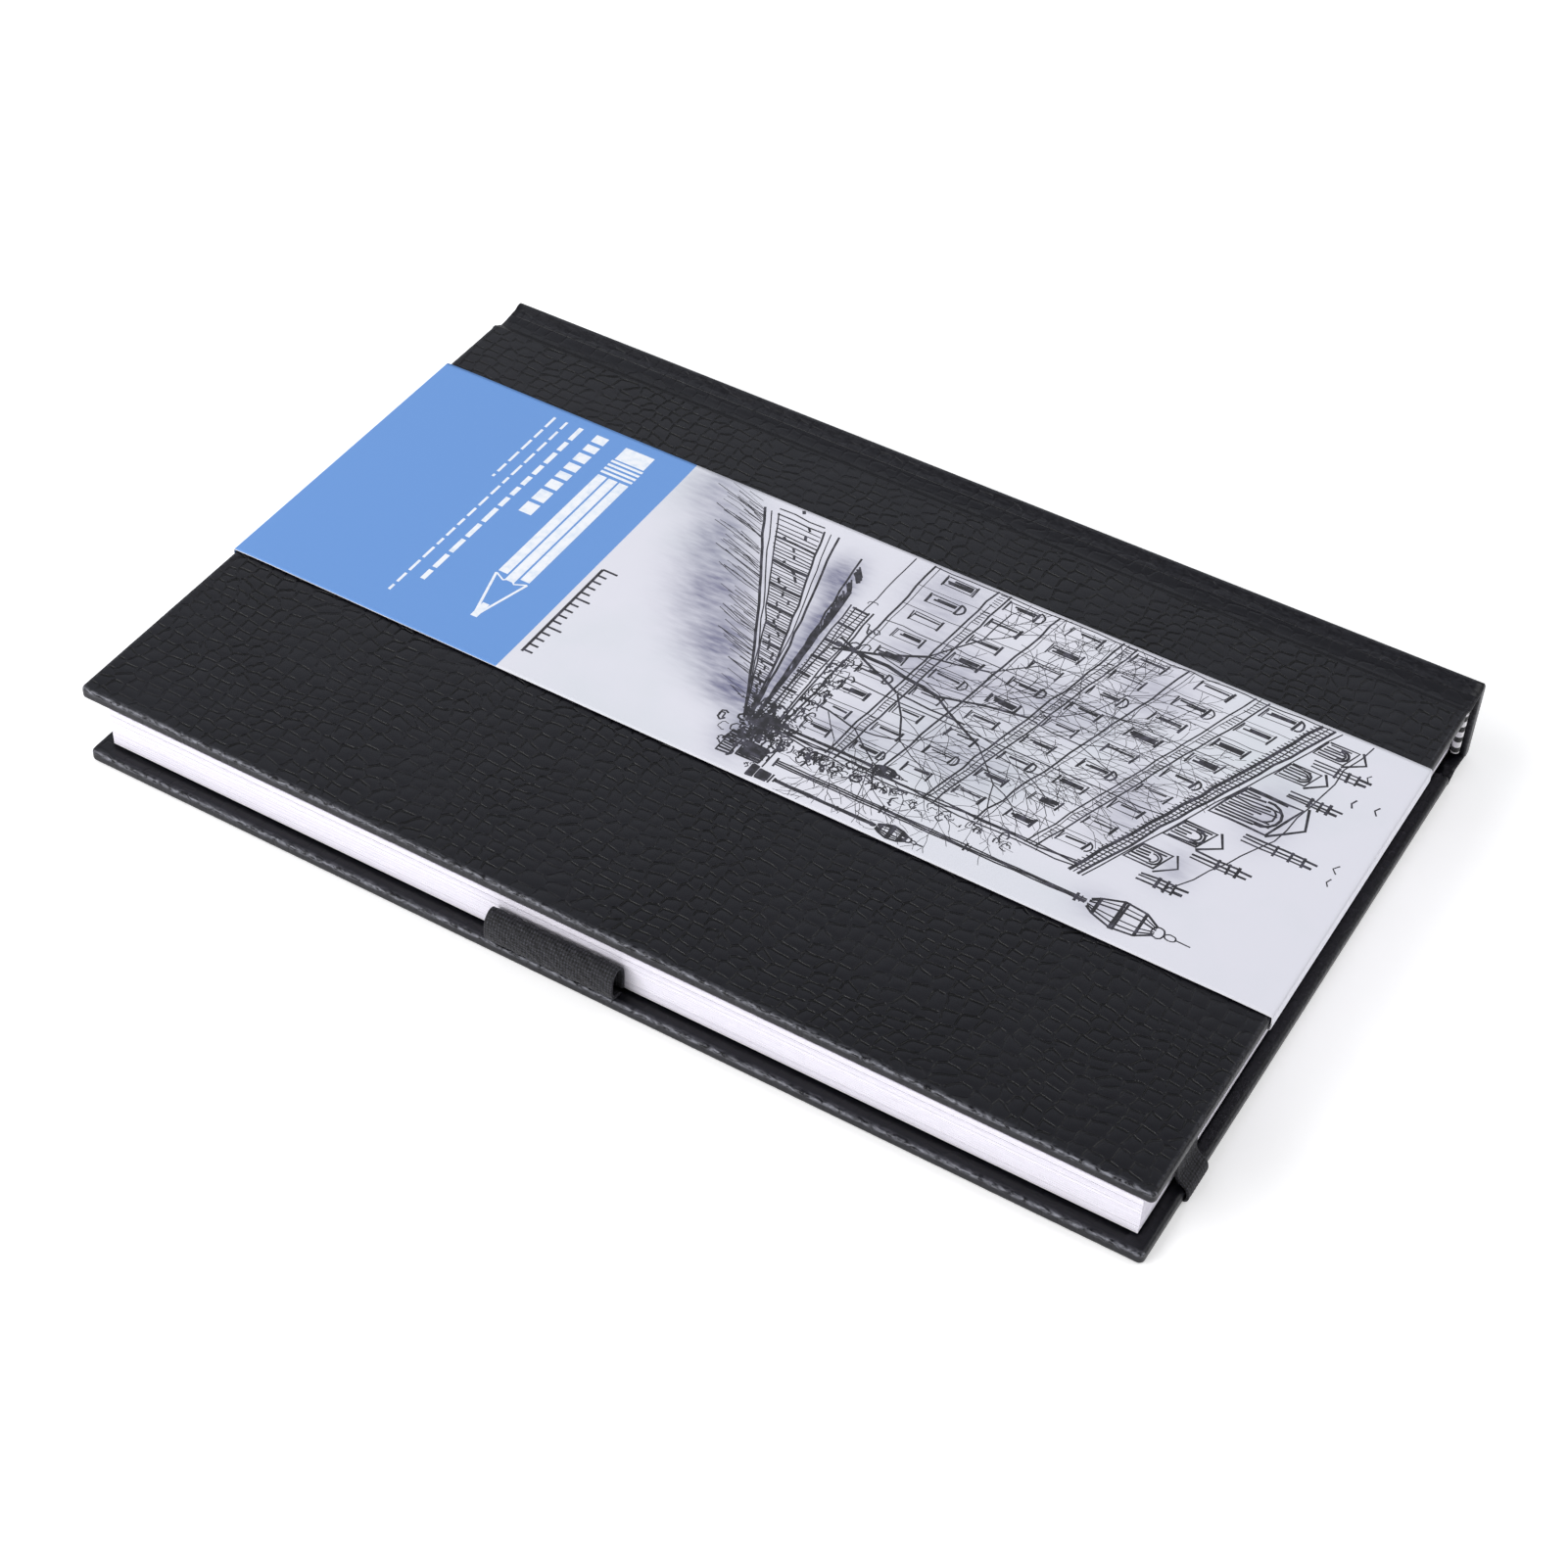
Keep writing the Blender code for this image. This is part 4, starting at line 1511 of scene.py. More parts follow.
@dataclass
class Strap:
    """The elastic: a strand between the leaves, and two legs that pass round the back cover's edge."""

    thickness: float = 0.55 * MM
    ribs: int = 9
    rib: float = 0.09 * MM

    def __post_init__(self) -> None:
        """Read the strap's place from the frame."""
        self.box = Box.of("elastic_strap")
        self.leg = Box.of("strap_leg_head")
        self.cover = Box.of("back_cover_skin")
        self.half_width = self.box.size.x / 2 - 0.1 * MM

    def relief(self, run: np.ndarray, width: np.ndarray) -> np.ndarray:
        """Shape the rubber cords' ribs, which fade out at the selvedges.

        Args:
            run: Distances along the strap.
            width: Distances from its middle line.

        Returns:
            The height at each place.
        """
        share = width / self.half_width
        cords = np.abs(np.cos(share * math.pi * self.ribs / 2))
        pinch = 0.5 + 0.5 * np.cos(run / (0.9 * MM) * 2 * math.pi)
        return self.rib * (cords + 0.4 * pinch - 0.9) * (1 - share**8)

    def across(self) -> np.ndarray:
        """Return the stations over the strap's width."""
        return np.linspace(-self.half_width, self.half_width, 37)

    def strand(self, finishes: Finishes) -> Object:
        """Build the strand, straight from tail to head.

        Args:
            finishes: The materials.

        Returns:
            The strand.
        """
        reach = self.box.high.y - 0.5 * MM
        route = straight(self.box.centre.x, stations(-reach, reach, 0.6 * MM), self.box.centre.z)
        piece = strip(
            "elastic_strand", route, RIGHT, self.across(), self.thickness, finishes.elastic, self.relief
        )
        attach(piece, "strap")
        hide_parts("elastic_strap")
        return piece

    def leg_route(self, end: End) -> np.ndarray:
        """Lead a leg from the strand's end down, round the cover's edge and into its slot.

        Args:
            end: The end of the book.

        Returns:
            Points of its middle line.
        """
        x = self.box.centre.x
        z = self.box.centre.z
        half = self.thickness / 2
        face = Box.of("section_8").high.y + 0.3 * MM + half
        edge = self.cover.high.y
        outside = edge + 0.3 * MM + half
        run_z = self.cover.low.z + 0.42 * MM
        slot_y = edge - 11.5 * MM
        inner = self.cover.high.z
        rows = [
            (face - 1.0 * MM, z), (face - 0.25 * MM, z - 0.05 * MM), (face + 0.05 * MM, z - 0.5 * MM),
            (face + 0.1 * MM, z - 2.4 * MM), (face + 0.5 * MM, inner + 2.6 * MM),
            (outside - 0.5 * MM, inner + 0.75 * MM), (outside, inner - 0.5 * MM),
            (outside, inner - 1.5 * MM), (outside - 0.35 * MM, run_z + 0.15 * MM),
            (outside - 1.1 * MM, run_z), (edge - 5 * MM, run_z),
            (slot_y + 1.1 * MM, run_z), (slot_y + 0.2 * MM, run_z + 0.25 * MM),
            (slot_y, run_z + 0.8 * MM), (slot_y, self.leg.low.z + 1.9 * MM),
        ]
        return smooth_route([(x, end.value * y, height) for y, height in rows], 0.22 * MM)

    def dress_leg(self, end: End, finishes: Finishes) -> Object:
        """Build one leg, which stretches between the back cover and the strand.

        Args:
            end: The end of the book.
            finishes: The materials.

        Returns:
            The leg, with its placement baked into its points.
        """
        piece = strip(
            f"elastic_leg_{end.name.lower()}", self.leg_route(end), RIGHT, self.across(), self.thickness,
            finishes.elastic, self.relief,
        )
        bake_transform(piece)
        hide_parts(f"strap_leg_{end.name.lower()}")
        return piece

    def dress(self, finishes: Finishes) -> list[Object]:
        """Build the strand and both legs."""
        return [self.strand(finishes)] + [self.dress_leg(end, finishes) for end in End]


@dataclass
class PenLoop:
    """The woven loop beside the leaves, its two ends glued between the back board and the pastedown."""

    thickness: float = 0.62 * MM
    yarn: float = 0.95 * MM
    knit: float = 0.15 * MM
    slack: float = 1.2 * MM

    def __post_init__(self) -> None:
        """Read the loop's place from the frame."""
        self.box = Box.of("pen_loop")
        self.left = Box.of("section_8").high.x + 0.25 * MM
        self.floor = Box.of("back_cover_skin").high.z + 0.3 * MM

    def relief(self, run: np.ndarray, width: np.ndarray) -> np.ndarray:
        """Shape the slanting rows of knit, each broken into uneven stitches.

        Args:
            run: Distances along the loop.
            width: Distances from its middle line.

        Returns:
            The height at each place.
        """
        drift = 0.9 * np.sin(width / (2.9 * MM)) + 0.7 * np.sin(run / (1.7 * MM) + 1.0)
        rows = np.sin((0.8 * run + 0.62 * width) / self.yarn * math.pi + drift)
        uneven = np.random.default_rng(5).uniform(-1.0, 1.0, len(run))
        edge = 1 - (width / (self.box.size.y / 2)) ** 10
        return self.knit * (0.45 * rows + 0.55 * uneven) * edge

    def route(self) -> np.ndarray:
        """Lead the loop out of the cover, round and back up the side of the block.

        Empty, the elastic lies flatter than the solid that holds room for a pen.

        Returns:
            Points of its middle line.
        """
        half = self.thickness / 2
        x0 = self.left + half
        x1 = self.box.high.x - self.slack - half
        z0 = self.floor + half
        z1 = self.box.high.z - half
        wide = x1 - x0
        tall = z1 - z0
        y = self.box.centre.y
        shape = (
            (0.03, -0.18), (0.42, -0.02), (0.82, 0.07), (0.98, 0.26), (1.0, 0.50), (0.92, 0.80), (0.64, 0.98),
            (0.34, 0.99), (0.10, 0.84), (0.0, 0.58), (0.0, 0.30), (0.0, 0.05),
        )
        rows = [(x0 + a * wide, y, z0 + b * tall) for a, b in shape]
        return smooth_route(rows, 0.2 * MM)

    def dress(self, finishes: Finishes) -> list[Object]:
        """Build the loop and ride it on the back cover.

        Args:
            finishes: The materials.

        Returns:
            The loop.
        """
        half = self.box.size.y / 2
        across = stations(-half, half, 0.2 * MM)
        piece = strip(
            "pen_loop_elastic", self.route(), HEADWARD, across, self.thickness, finishes.elastic, self.relief
        )
        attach(piece, "back_cover")
        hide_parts("pen_loop")
        return [piece]


@dataclass
class Sketch:
    """An ink drawing of a riverside street, in millimetres: u from the spine, v from the tail."""

    width: float
    height: float
    foot: float
    seed: int = 21
    strokes: list[Stroke] = field(default_factory=list)

    def __post_init__(self) -> None:
        """Seed the pen's unsteadiness."""
        self.pen = random.Random(self.seed)

    def line(self, points: Sequence[Pair], weight: float = 0.2, shake: float = 0.12) -> None:
        """Draw a hand-drawn line through points, kept inside the band.

        Args:
            points: Corners of the line, in millimetres.
            weight: The pen's width in millimetres.
            shake: How far the hand strays.
        """
        drawn = []
        for (u0, v0), (u1, v1) in zip(points[:-1], points[1:]):
            steps = max(1, int(math.hypot(u1 - u0, v1 - v0) / 3.5))
            for step in range(steps):
                t = step / steps
                drawn.append((u0 + (u1 - u0) * t, v0 + (v1 - v0) * t))
        drawn.append(tuple(points[-1]))
        shaken = [(u + self.pen.gauss(0, shake), v + self.pen.gauss(0, shake)) for u, v in drawn]
        inside = [(u, v) for u, v in shaken if 0.4 < u < self.width - 0.4 and self.foot < v < self.height - 2]
        if len(inside) > 1:
            self.strokes.append((inside, weight * self.pen.uniform(0.8, 1.25)))

    def arc(self, centre: Pair, radii: Pair, span: Pair, weight: float, shake: float = 0.05) -> None:
        """Draw part of an ellipse.

        Args:
            centre: Its middle.
            radii: Its reach across and up.
            span: Where it starts and stops, in degrees.
            weight: The pen's width.
            shake: How far the hand strays.
        """
        start, stop = span
        count = max(5, int(abs(stop - start) / 24))
        turns = [math.radians(start + (stop - start) * k / count) for k in range(count + 1)]
        round_it = [(centre[0] + radii[0] * math.cos(t), centre[1] + radii[1] * math.sin(t)) for t in turns]
        self.line(round_it, weight, shake)

    def across(self, u: float, v: float, half: float, weight: float, shake: float) -> None:
        """Draw a short stroke across, to both sides of a place."""
        self.line([(u - half, v), (u + half, v)], weight, shake)

    def deck(self, t: float, rise: float) -> Pair:
        """Return a place on the bridge: t from the left edge to the far bank, rise its height there."""
        return 59.0 * t, 80.0 + rise * (1.06 - t) + 30.0 * t**1.25 + 3.0 * math.sin(math.pi * t)

    def bridge(self) -> None:
        """Draw a stone bridge that sweeps in from the left edge to the far bank."""
        for rise, weight in ((0.0, 0.6), (1.6, 0.25), (3.2, 0.34), (14.0, 0.5), (15.6, 0.25), (17.2, 0.5)):
            self.line([self.deck(k / 16, rise) for k in range(17)], weight, 0.1)
        count = 74
        for k in range(count):
            t = (k / count) ** 0.75
            low = self.deck(t, 3.2)
            high = self.deck(t, 14.0)
            weight = 0.75 if k % 7 == 0 else 0.3
            self.line([low, (high[0] + 0.5, high[1])], weight * (1.1 - 0.4 * t), 0.12)
            if k % 2 == 0:
                share = self.pen.uniform(0.25, 0.7)
                middle = (low[0] + 0.4, low[1] + (high[1] - low[1]) * share)
                self.line([middle, (middle[0] + 1.1, middle[1] + 0.7)], 0.6 - 0.2 * t, 0.15)
        for k in range(90):
            t = 0.01 + 0.93 * self.pen.random()
            u, v = self.deck(t, 0.0)
            length = self.pen.uniform(3, 16) * (1.05 - 0.6 * t)
            self.line([(u, v - 0.4), (u - length * 0.3, v - length)], self.pen.uniform(0.09, 0.2), 0.2)

    def quay(self) -> None:
        """Draw the road and the river wall, which narrow towards the same far point as the bridge."""
        far = (59.5, 112.0)
        for u, v, weight in ((7.0, 106.0, 0.4), (15.0, 108.5, 0.5), (17.0, 109.2, 0.6), (1.0, 115.0, 0.3)):
            self.line([(u, v), far], weight, 0.14)
        for k in range(70):
            t = self.pen.random() ** 1.3
            u = 9.0 + 48.0 * t
            low = 106.6 + (u - 7.0) * 0.10
            self.line([(u, low), (u + 2.6, low + 1.9 * (1.1 - t))], self.pen.uniform(0.25, 0.7), 0.12)
        for rise in (0.0, 1.2, 4.2, 5.0):
            wall = [(20.0, 111.0 + rise), (40.0, 112.2 + rise * 0.8), (60.0, 113.6 + rise * 0.5)]
            self.line(wall, 0.34, 0.14)
        for k in range(44):
            u = 20.5 + k * 0.9
            self.line([(u, 111.6), (u + 0.2, 115.6 - (u - 20) * 0.03)], 0.24 if k % 6 else 0.7, 0.08)

    def front(self, u: float, share: float) -> Pair:
        """Return a place on the long house front, seen at a slant; share is the height from 0 to 1."""
        base = 119.5 - 0.04 * u
        top = 112.0 + 92.0 * (230.0 - u) / 230.0
        return u, base + (top - base) * share

    def window(self, u: float, low: float, high: float, wide: float, arched: bool) -> None:
        """Draw one window: its frame, its dark glass, its lintel and its sill.

        Args:
            u: The window's left side.
            low: Its sill, as a share of the front's height.
            high: Its lintel, as a share of the front's height.
            wide: Its width.
            arched: Whether it has a round head.
        """
        a = self.front(u, low)
        b = self.front(u, high)
        c = self.front(u + wide, high)
        d = self.front(u + wide, low)
        self.line([a, b, c, d, a], 0.26, 0.1)
        dark = self.pen.randint(1, 3)
        for k in range(dark):
            place = u + wide * (0.28 + 0.2 * k)
            drop = self.pen.uniform(0.0, 0.35)
            glass = [self.front(place, low + (high - low) * drop), self.front(place, high - 0.004)]
            self.line(glass, self.pen.uniform(0.42, 0.62), 0.07)
        self.line([(b[0] - 0.3, b[1] + 0.2), (c[0] + 0.4, c[1] + 0.2)], 0.48, 0.08)
        self.line([(a[0] - 0.4, a[1] - 0.3), (d[0] + 0.4, d[1] - 0.3)], 0.36, 0.08)
        if arched:
            self.arc((u + wide / 2, (b[1] + c[1]) / 2 + 0.3), (wide * 0.62, wide * 0.55), (0, 180), 0.42)

    def palace(self, storeys: int = 6, bays: int = 9) -> None:
        """Draw the long house front: storeys, windows, balconies, pilasters and cornice.

        Args:
            storeys: How many rows of windows it has.
            bays: How many windows stand in a row.
        """
        edge = 58.5
        bay_width = 6.35
        step = 1 / storeys
        for level in range(storeys):
            share = level / storeys
            for lift, weight in ((0.0, 0.4), (0.012, 0.2)):
                self.line([self.front(0.6 + edge * k / 8, share + lift) for k in range(9)], weight, 0.16)
            for bay in range(bays):
                u = 2.0 + bay * bay_width
                sill = share + 0.28 * step
                self.window(u, sill, share + 0.74 * step, 2.5 - 0.06 * bay, (bay + level) % 4 == 1)
                for k in range(6 if level % 2 else 0):
                    place = u - 1.0 + 0.8 * k
                    bars = [self.front(place, share + 0.01), self.front(place, share + 0.17 * step)]
                    self.line(bars, 0.22, 0.07)
            if level % 2 == 1:
                self.line([self.front(0.6 + edge * k / 8, share + 0.2 * step) for k in range(9)], 0.36, 0.12)
        for bay in range(bays + 1):
            u = 0.9 + bay * bay_width
            self.line([self.front(u, k / 7) for k in range(8)], 0.16 + 0.14 * (bay % 3 == 0), 0.14)
        for offset, weight in ((0.0, 0.55), (0.9, 0.3)):
            self.line([self.front(edge + offset, k / 8) for k in range(9)], weight, 0.18)
        for share, weight in ((1.0, 0.6), (1.014, 0.24), (1.03, 0.5), (1.045, 0.3)):
            self.line([self.front(0.6 + (edge + 1.6) * k / 8, share) for k in range(9)], weight, 0.12)
        for k in range(66):
            u = 0.8 + k * 0.9
            self.line([self.front(u, 0.985), self.front(u, 1.028)], 0.3, 0.05)

    def roofs(self) -> None:
        """Draw the roofs: dormers with round heads, chimneys with pots, and a finial."""
        dormers = ((4.0, 4.4, 6.0), (13.0, 4.4, 6.0), (23.5, 9.5, 11.5), (38.0, 5.0, 6.5), (47.5, 4.6, 6.0))
        for u, wide, tall in dormers:
            base = self.front(u, 1.05)[1]
            top = base + tall
            slope = -0.38 * wide
            sides = [(u, base), (u, top), (u + wide, top + slope), (u + wide, base + slope), (u, base)]
            self.line(sides, 0.5, 0.12)
            middle = (u + wide / 2, base + tall * 0.62 + slope / 2)
            self.arc(middle, (wide * 0.36, tall * 0.3), (-10, 190), 0.5)
            self.arc(middle, (wide * 0.22, tall * 0.2), (-10, 190), 0.4)
            for k in range(int(wide / 0.8)):
                at = u + 0.5 + 0.8 * k
                fall = slope * (at - u) / wide
                slat = [(at, base + 0.3 + fall), (at, base + tall * self.pen.uniform(0.3, 0.95) + fall)]
                self.line(slat, 0.44, 0.1)
            gable = [(u - 0.7, top + 0.5), (u + wide / 2, top + 2.2), (u + wide + 0.7, top + slope)]
            self.line(gable, 0.5, 0.1)
        self.line([(1.0, 214.0), (18.0, 211.0), (34.0, 208.5), (57.0, 196.0)], 0.3, 0.3)
        chimneys = (
            (10.0, 206.0, 9.0), (20.0, 205.5, 8.0), (35.0, 203.0, 12.0),
            (44.0, 197.0, 9.0), (54.0, 191.0, 7.0),
        )
        for u, base, tall in chimneys:
            for k in range(3):
                self.line([(u + k * 0.9, base), (u + k * 0.9, base + tall)], 0.42, 0.1)
            for lift in (0.55, 0.8, 1.0):
                self.line([(u - 0.6, base + tall * lift), (u + 2.4, base + tall * lift)], 0.55, 0.08)
            for place, pot in ((0.2, 2.6), (1.5, 2.0)):
                self.line([(u + place, base + tall), (u + place, base + tall + pot)], 0.6, 0.06)
        for _ in range(5):
            u = self.pen.uniform(8, 40)
            v = self.pen.uniform(216, 221)
            self.line([(u - 1.2, v + 0.7), (u, v), (u + 1.2, v + 0.8)], 0.34, 0.08)

    def lamp(self, u: float, base: float, tall: float, size: float) -> None:
        """Draw a street lamp: plinth, post with collars, and a globe lantern with a finial.

        Args:
            u: The post's place across the band.
            base: The foot's height.
            tall: The post's length.
            size: The lantern's scale.
        """
        steps = ((2.6, 0), (2.6, 2.2), (1.9, 3.0), (1.6, 7.0), (2.0, 7.8), (1.0, 9.0))
        for k, (half, rise) in enumerate(steps):
            self.across(u, base + rise * size, half * size, 0.45 if k % 2 else 0.34, 0.06)
        panels = ((2.5, 0, 2.2), (1.7, 3, 7), (1.2, 3.2, 6.9), (0.7, 3.2, 6.9), (0.2, 3.2, 6.9))
        for half, low, high in panels:
            for sign in (-1, 1):
                foot = (u + sign * half * size, base + low * size)
                self.line([foot, (u + sign * half * size * 0.92, base + high * size)], 0.62, 0.08)
        for k in range(8):
            bar = [(u + size * (0.55 * k - 2.2), base + 0.2), (u + size * (0.55 * k - 2.1), base + 2 * size)]
            self.line(bar, 0.5, 0.05)
        top = base + tall
        for offset in (-0.45, 0.0, 0.45):
            self.line([(u + offset * size, base + 9 * size), (u + offset * size * 0.7, top)], 0.4, 0.06)
        for share in (0.35, 0.62, 0.97):
            v = base + 9 * size + (tall - 9 * size) * share
            self.across(u, v, 0.9 * size, 0.5, 0.03)
            self.across(u, v + 0.7 * size, 0.7 * size, 0.3, 0.03)
        pane = ((0.8, 0.4), (1.7, 1.7), (2.9, 5.0), (2.4, 8.6), (0.8, 11.0))
        for turn in (-1, 1):
            for share, weight in ((1.0, 0.55), (0.66, 0.34), (0.3, 0.34)):
                reach = turn * share * size
                self.line([(u + reach * a, top + b * size) for a, b in pane], weight, 0.05)
        for v, half in ((1.7, 1.7), (5.0, 3.1), (5.5, 3.1), (8.6, 2.5)):
            self.across(u, top + v * size, half * size, 0.62, 0.05)
        self.arc((u, top + 11.4 * size), (1.1 * size, 1.0 * size), (0, 360), 0.36)
        self.arc((u, top + 13.3 * size), (0.6 * size, 0.9 * size), (0, 360), 0.34)
        self.line([(u, top + 14 * size), (u, top + 16.5 * size)], 0.3, 0.03)

    def tree(self, u: float, v: float, angle: float, length: float, weight: float) -> None:
        """Draw a bare tree, branch by branch.

        Args:
            u: The foot's place across.
            v: Its place up.
            angle: The branch's lean to the right, in radians.
            length: Its length.
            weight: The pen's width.
        """
        if length < 2.2:
            return
        bend = angle + self.pen.uniform(-0.18, 0.18)
        middle = (u + length * 0.5 * math.sin(angle), v + length * 0.5 * math.cos(angle))
        tip = (middle[0] + length * 0.5 * math.sin(bend), middle[1] + length * 0.5 * math.cos(bend))
        self.line([(u, v), middle, tip], weight, 0.1)
        for turn in (-1, 1):
            spread = turn * self.pen.uniform(0.22, 0.55)
            self.tree(*tip, bend + spread, length * self.pen.uniform(0.62, 0.84), max(weight * 0.66, 0.11))
        if self.pen.random() < 0.55:
            self.tree(*middle, bend - self.pen.choice((-1, 1)) * 0.7, length * 0.6, max(weight * 0.5, 0.1))

    def scribble(self, centre: Pair, spread: Pair, count: int, weight: float) -> None:
        """Scatter small loops of the pen round a place.

        Args:
            centre: The middle of the patch.
            spread: How far it reaches across and up.
            count: How many loops it has.
            weight: The pen's width.
        """
        for _ in range(count):
            u = self.pen.gauss(centre[0], spread[0])
            v = self.pen.gauss(centre[1], spread[1])
            start = self.pen.uniform(0, 180)
            radii = (self.pen.uniform(0.4, 1.4), self.pen.uniform(0.3, 1.2))
            span = (start, start + self.pen.uniform(120, 320))
            self.arc((u, v), radii, span, weight * self.pen.uniform(0.6, 1.3), 0.12)

    def draw(self) -> list[Stroke]:
        """Draw the whole street.

        Returns:
            Its strokes.
        """
        self.bridge()
        self.quay()
        self.palace()
        self.roofs()
        for u, v, angle, length, weight in (
            (31.0, 114.0, 0.05, 24.0, 0.75), (33.0, 114.0, -0.38, 19.0, 0.6), (29.0, 114.0, 0.45, 19.0, 0.55),
            (48.0, 116.0, 0.1, 13.0, 0.5),
        ):
            self.tree(u, v, angle, length, weight)
        for centre, spread, count, weight in (
            ((46.0, 118.5), (10.0, 1.6), 90, 0.3), ((60.0, 114.0), (4.0, 2.4), 120, 0.42),
            ((61.5, 126.0), (1.2, 8.0), 70, 0.34), ((61.0, 150.0), (0.9, 10.0), 40, 0.26),
        ):
            self.scribble(centre, spread, count, weight)
        lamps = ((66.0, 110.0, 76.0, 1.25), (70.3, 118.0, 27.0, 0.6), (57.0, 113.0, 24.0, 0.45))
        for u, base, tall, size in lamps:
            self.lamp(u, base, tall, size)
        return self.strokes


@dataclass
class BellyBand:
    """The printed paper band that is folded round the front cover."""

    paper: float = 0.18 * MM
    fold: float = 0.45 * MM
    pitch: float = 0.8 * MM
    lift: float = 0.16 * MM
    skew: float = 0.0067
    film: float = 0.012 * MM
    field_top: float = 62.5
    flap_end: float = 77 * MM

    def __post_init__(self) -> None:
        """Read the band's place from the frame."""
        self.box = Box.of("belly_band")
        self.cover = Box.of("front_cover_skin")

    def route(self) -> np.ndarray:
        """Fold the band's middle line in Y and Z, from one tucked flap to the other.

        Returns:
            Its points.
        """
        half = self.paper / 2
        out = self.box.high.y - half
        top = self.box.high.z - half
        low = self.box.low.z + half
        tuck = self.flap_end
        corners = [(-tuck, low), (-out, low), (-out, top), (out, top), (out, low), (tuck, low)]
        rows = [corners[0]]
        for before, corner, after in zip(corners[:-2], corners[1:-1], corners[2:]):
            a = np.array(before) - np.array(corner)
            b = np.array(after) - np.array(corner)
            a = a / np.linalg.norm(a)
            b = b / np.linalg.norm(b)
            for t in np.linspace(0, 1, 5):
                rows.append(tuple(np.array(corner) + self.fold * (a * (1 - t) ** 2 + b * t**2)))
        rows.append(corners[-1])
        filled = [rows[0]]
        for start, stop in zip(rows[:-1], rows[1:]):
            gap = math.dist(start, stop)
            count = max(1, int(gap / self.pitch))
            for step in range(1, count + 1):
                t = step / count
                filled.append((start[0] + (stop[0] - start[0]) * t, start[1] + (stop[1] - start[1]) * t))
        return np.array([(0.0, y, z) for y, z in filled])

    def wash(self, u: np.ndarray, v: np.ndarray) -> np.ndarray:
        """Lay soft patches of brushed tone, in millimetres over the band.

        Args:
            u: Places from its spine side.
            v: Places from its tail.

        Returns:
            How much grey wash lies at each place.
        """
        patches = (
            (4, 70, 8, 6, 0.45), (16, 78, 11, 6, 0.6), (30, 86, 10, 7, 0.75), (43, 95, 8, 7, 0.85),
            (53, 104, 5, 6, 0.95), (14, 105, 6, 4, 0.9), (27, 108, 9, 3, 0.85), (42, 110, 9, 2.5, 0.8),
            (62, 112, 7, 5, 0.7), (8, 126, 9, 8, 0.4), (28, 134, 9, 12, 0.5), (24, 158, 7, 12, 0.4),
            (46, 150, 8, 12, 0.36), (52, 128, 6, 8, 0.4), (10, 172, 8, 8, 0.36), (40, 182, 11, 6, 0.36),
            (28, 205, 8, 5, 0.42), (50, 196, 6, 4, 0.35), (66, 188, 4, 5, 0.3),
        )
        tone = np.zeros_like(u)
        for centre_u, centre_v, size_u, size_v, strength in patches:
            tone += strength * np.exp(-((u - centre_u) / size_u) ** 2 - ((v - centre_v) / size_v) ** 2)
        return np.clip(tone, 0, 0.95) * (v > self.field_top)

    def sheet(self, finishes: Finishes) -> Object:
        """Build the folded paper, its edges a little lifted, with the wash on its points.

        Args:
            finishes: The materials.

        Returns:
            The paper.
        """
        width = self.box.size.x
        across = stations(-width / 2, width / 2, self.pitch)
        route = self.route()
        route[:, 0] = self.box.centre.x
        made = strip("paper_band", route, RIGHT, across, self.paper, finishes.print)
        points = points_of(made.data).astype(float)
        share = (points[:, 0] - self.box.centre.x) / (width / 2)
        on_top = points[:, 2] > self.box.high.z - 0.4 * MM
        near_fold = np.clip((self.box.high.y - np.abs(points[:, 1])) / (9 * MM), 0, 1)
        points[:, 2] += self.lift * np.abs(share) ** 6 * near_fold * on_top
        keep_numbers(made.data, "wash", self.wash(*self.flat(points)))
        points[:, 0] += self.skew * points[:, 1]
        made.data.vertices.foreach_set("co", points.astype(np.float32).ravel())
        made.data.materials.append(finishes.print_edge)
        for face in made.data.polygons:
            inside = abs(face.center.y) < self.cover.high.y and face.center.z < self.box.high.z - 0.3 * MM
            below = face.normal.z < -0.5 and face.center.z > self.cover.high.z
            if abs(face.normal.x) > 0.7 or below or inside:
                face.material_index = 1
        made.data.update()
        return made

    def flat(self, points: np.ndarray) -> tuple[np.ndarray, np.ndarray]:
        """Return the places of points on the band's face, in millimetres from its spine side and its tail."""
        return (points[:, 0] - self.box.low.x) / MM, (points[:, 1] - self.box.low.y) / MM

    def ink_tree(self) -> MeshTree:
        """Make the tree that turns pen lines into flat films of ink on the paper.

        Returns:
            The tree, which takes lines with a pen width on their points.
        """
        tree = MeshTree("pen strokes", {"Level": 0.0, "Film": self.film, "Material": None})
        curves = tree.out("GeometryNodeMeshToCurve", {0: tree.given["Geometry"]})
        pen = tree.number("pen")
        weighted = tree.out("GeometryNodeSetCurveRadius", {0: curves, "Radius": pen})
        nib = tree.out("GeometryNodeCurvePrimitiveCircle", {"Resolution": 4, "Radius": 1.0}, mode="RADIUS")
        sweep = {"Curve": weighted, "Profile Curve": nib, "Fill Caps": True, "Scale": pen}
        swept = tree.out("GeometryNodeCurveToMesh", sweep)
        apart = tree.split(tree.place())
        over = tree.math("GREATER_THAN", apart["Z"], tree.given["Level"])
        height = tree.math("MULTIPLY_ADD", over, tree.given["Film"], tree.given["Level"])
        pressed = tree.out("ShaderNodeCombineXYZ", {"X": apart["X"], "Y": apart["Y"], "Z": height})
        return tree.finish(tree.out("GeometryNodeSetPosition", {"Geometry": swept, "Position": pressed}))

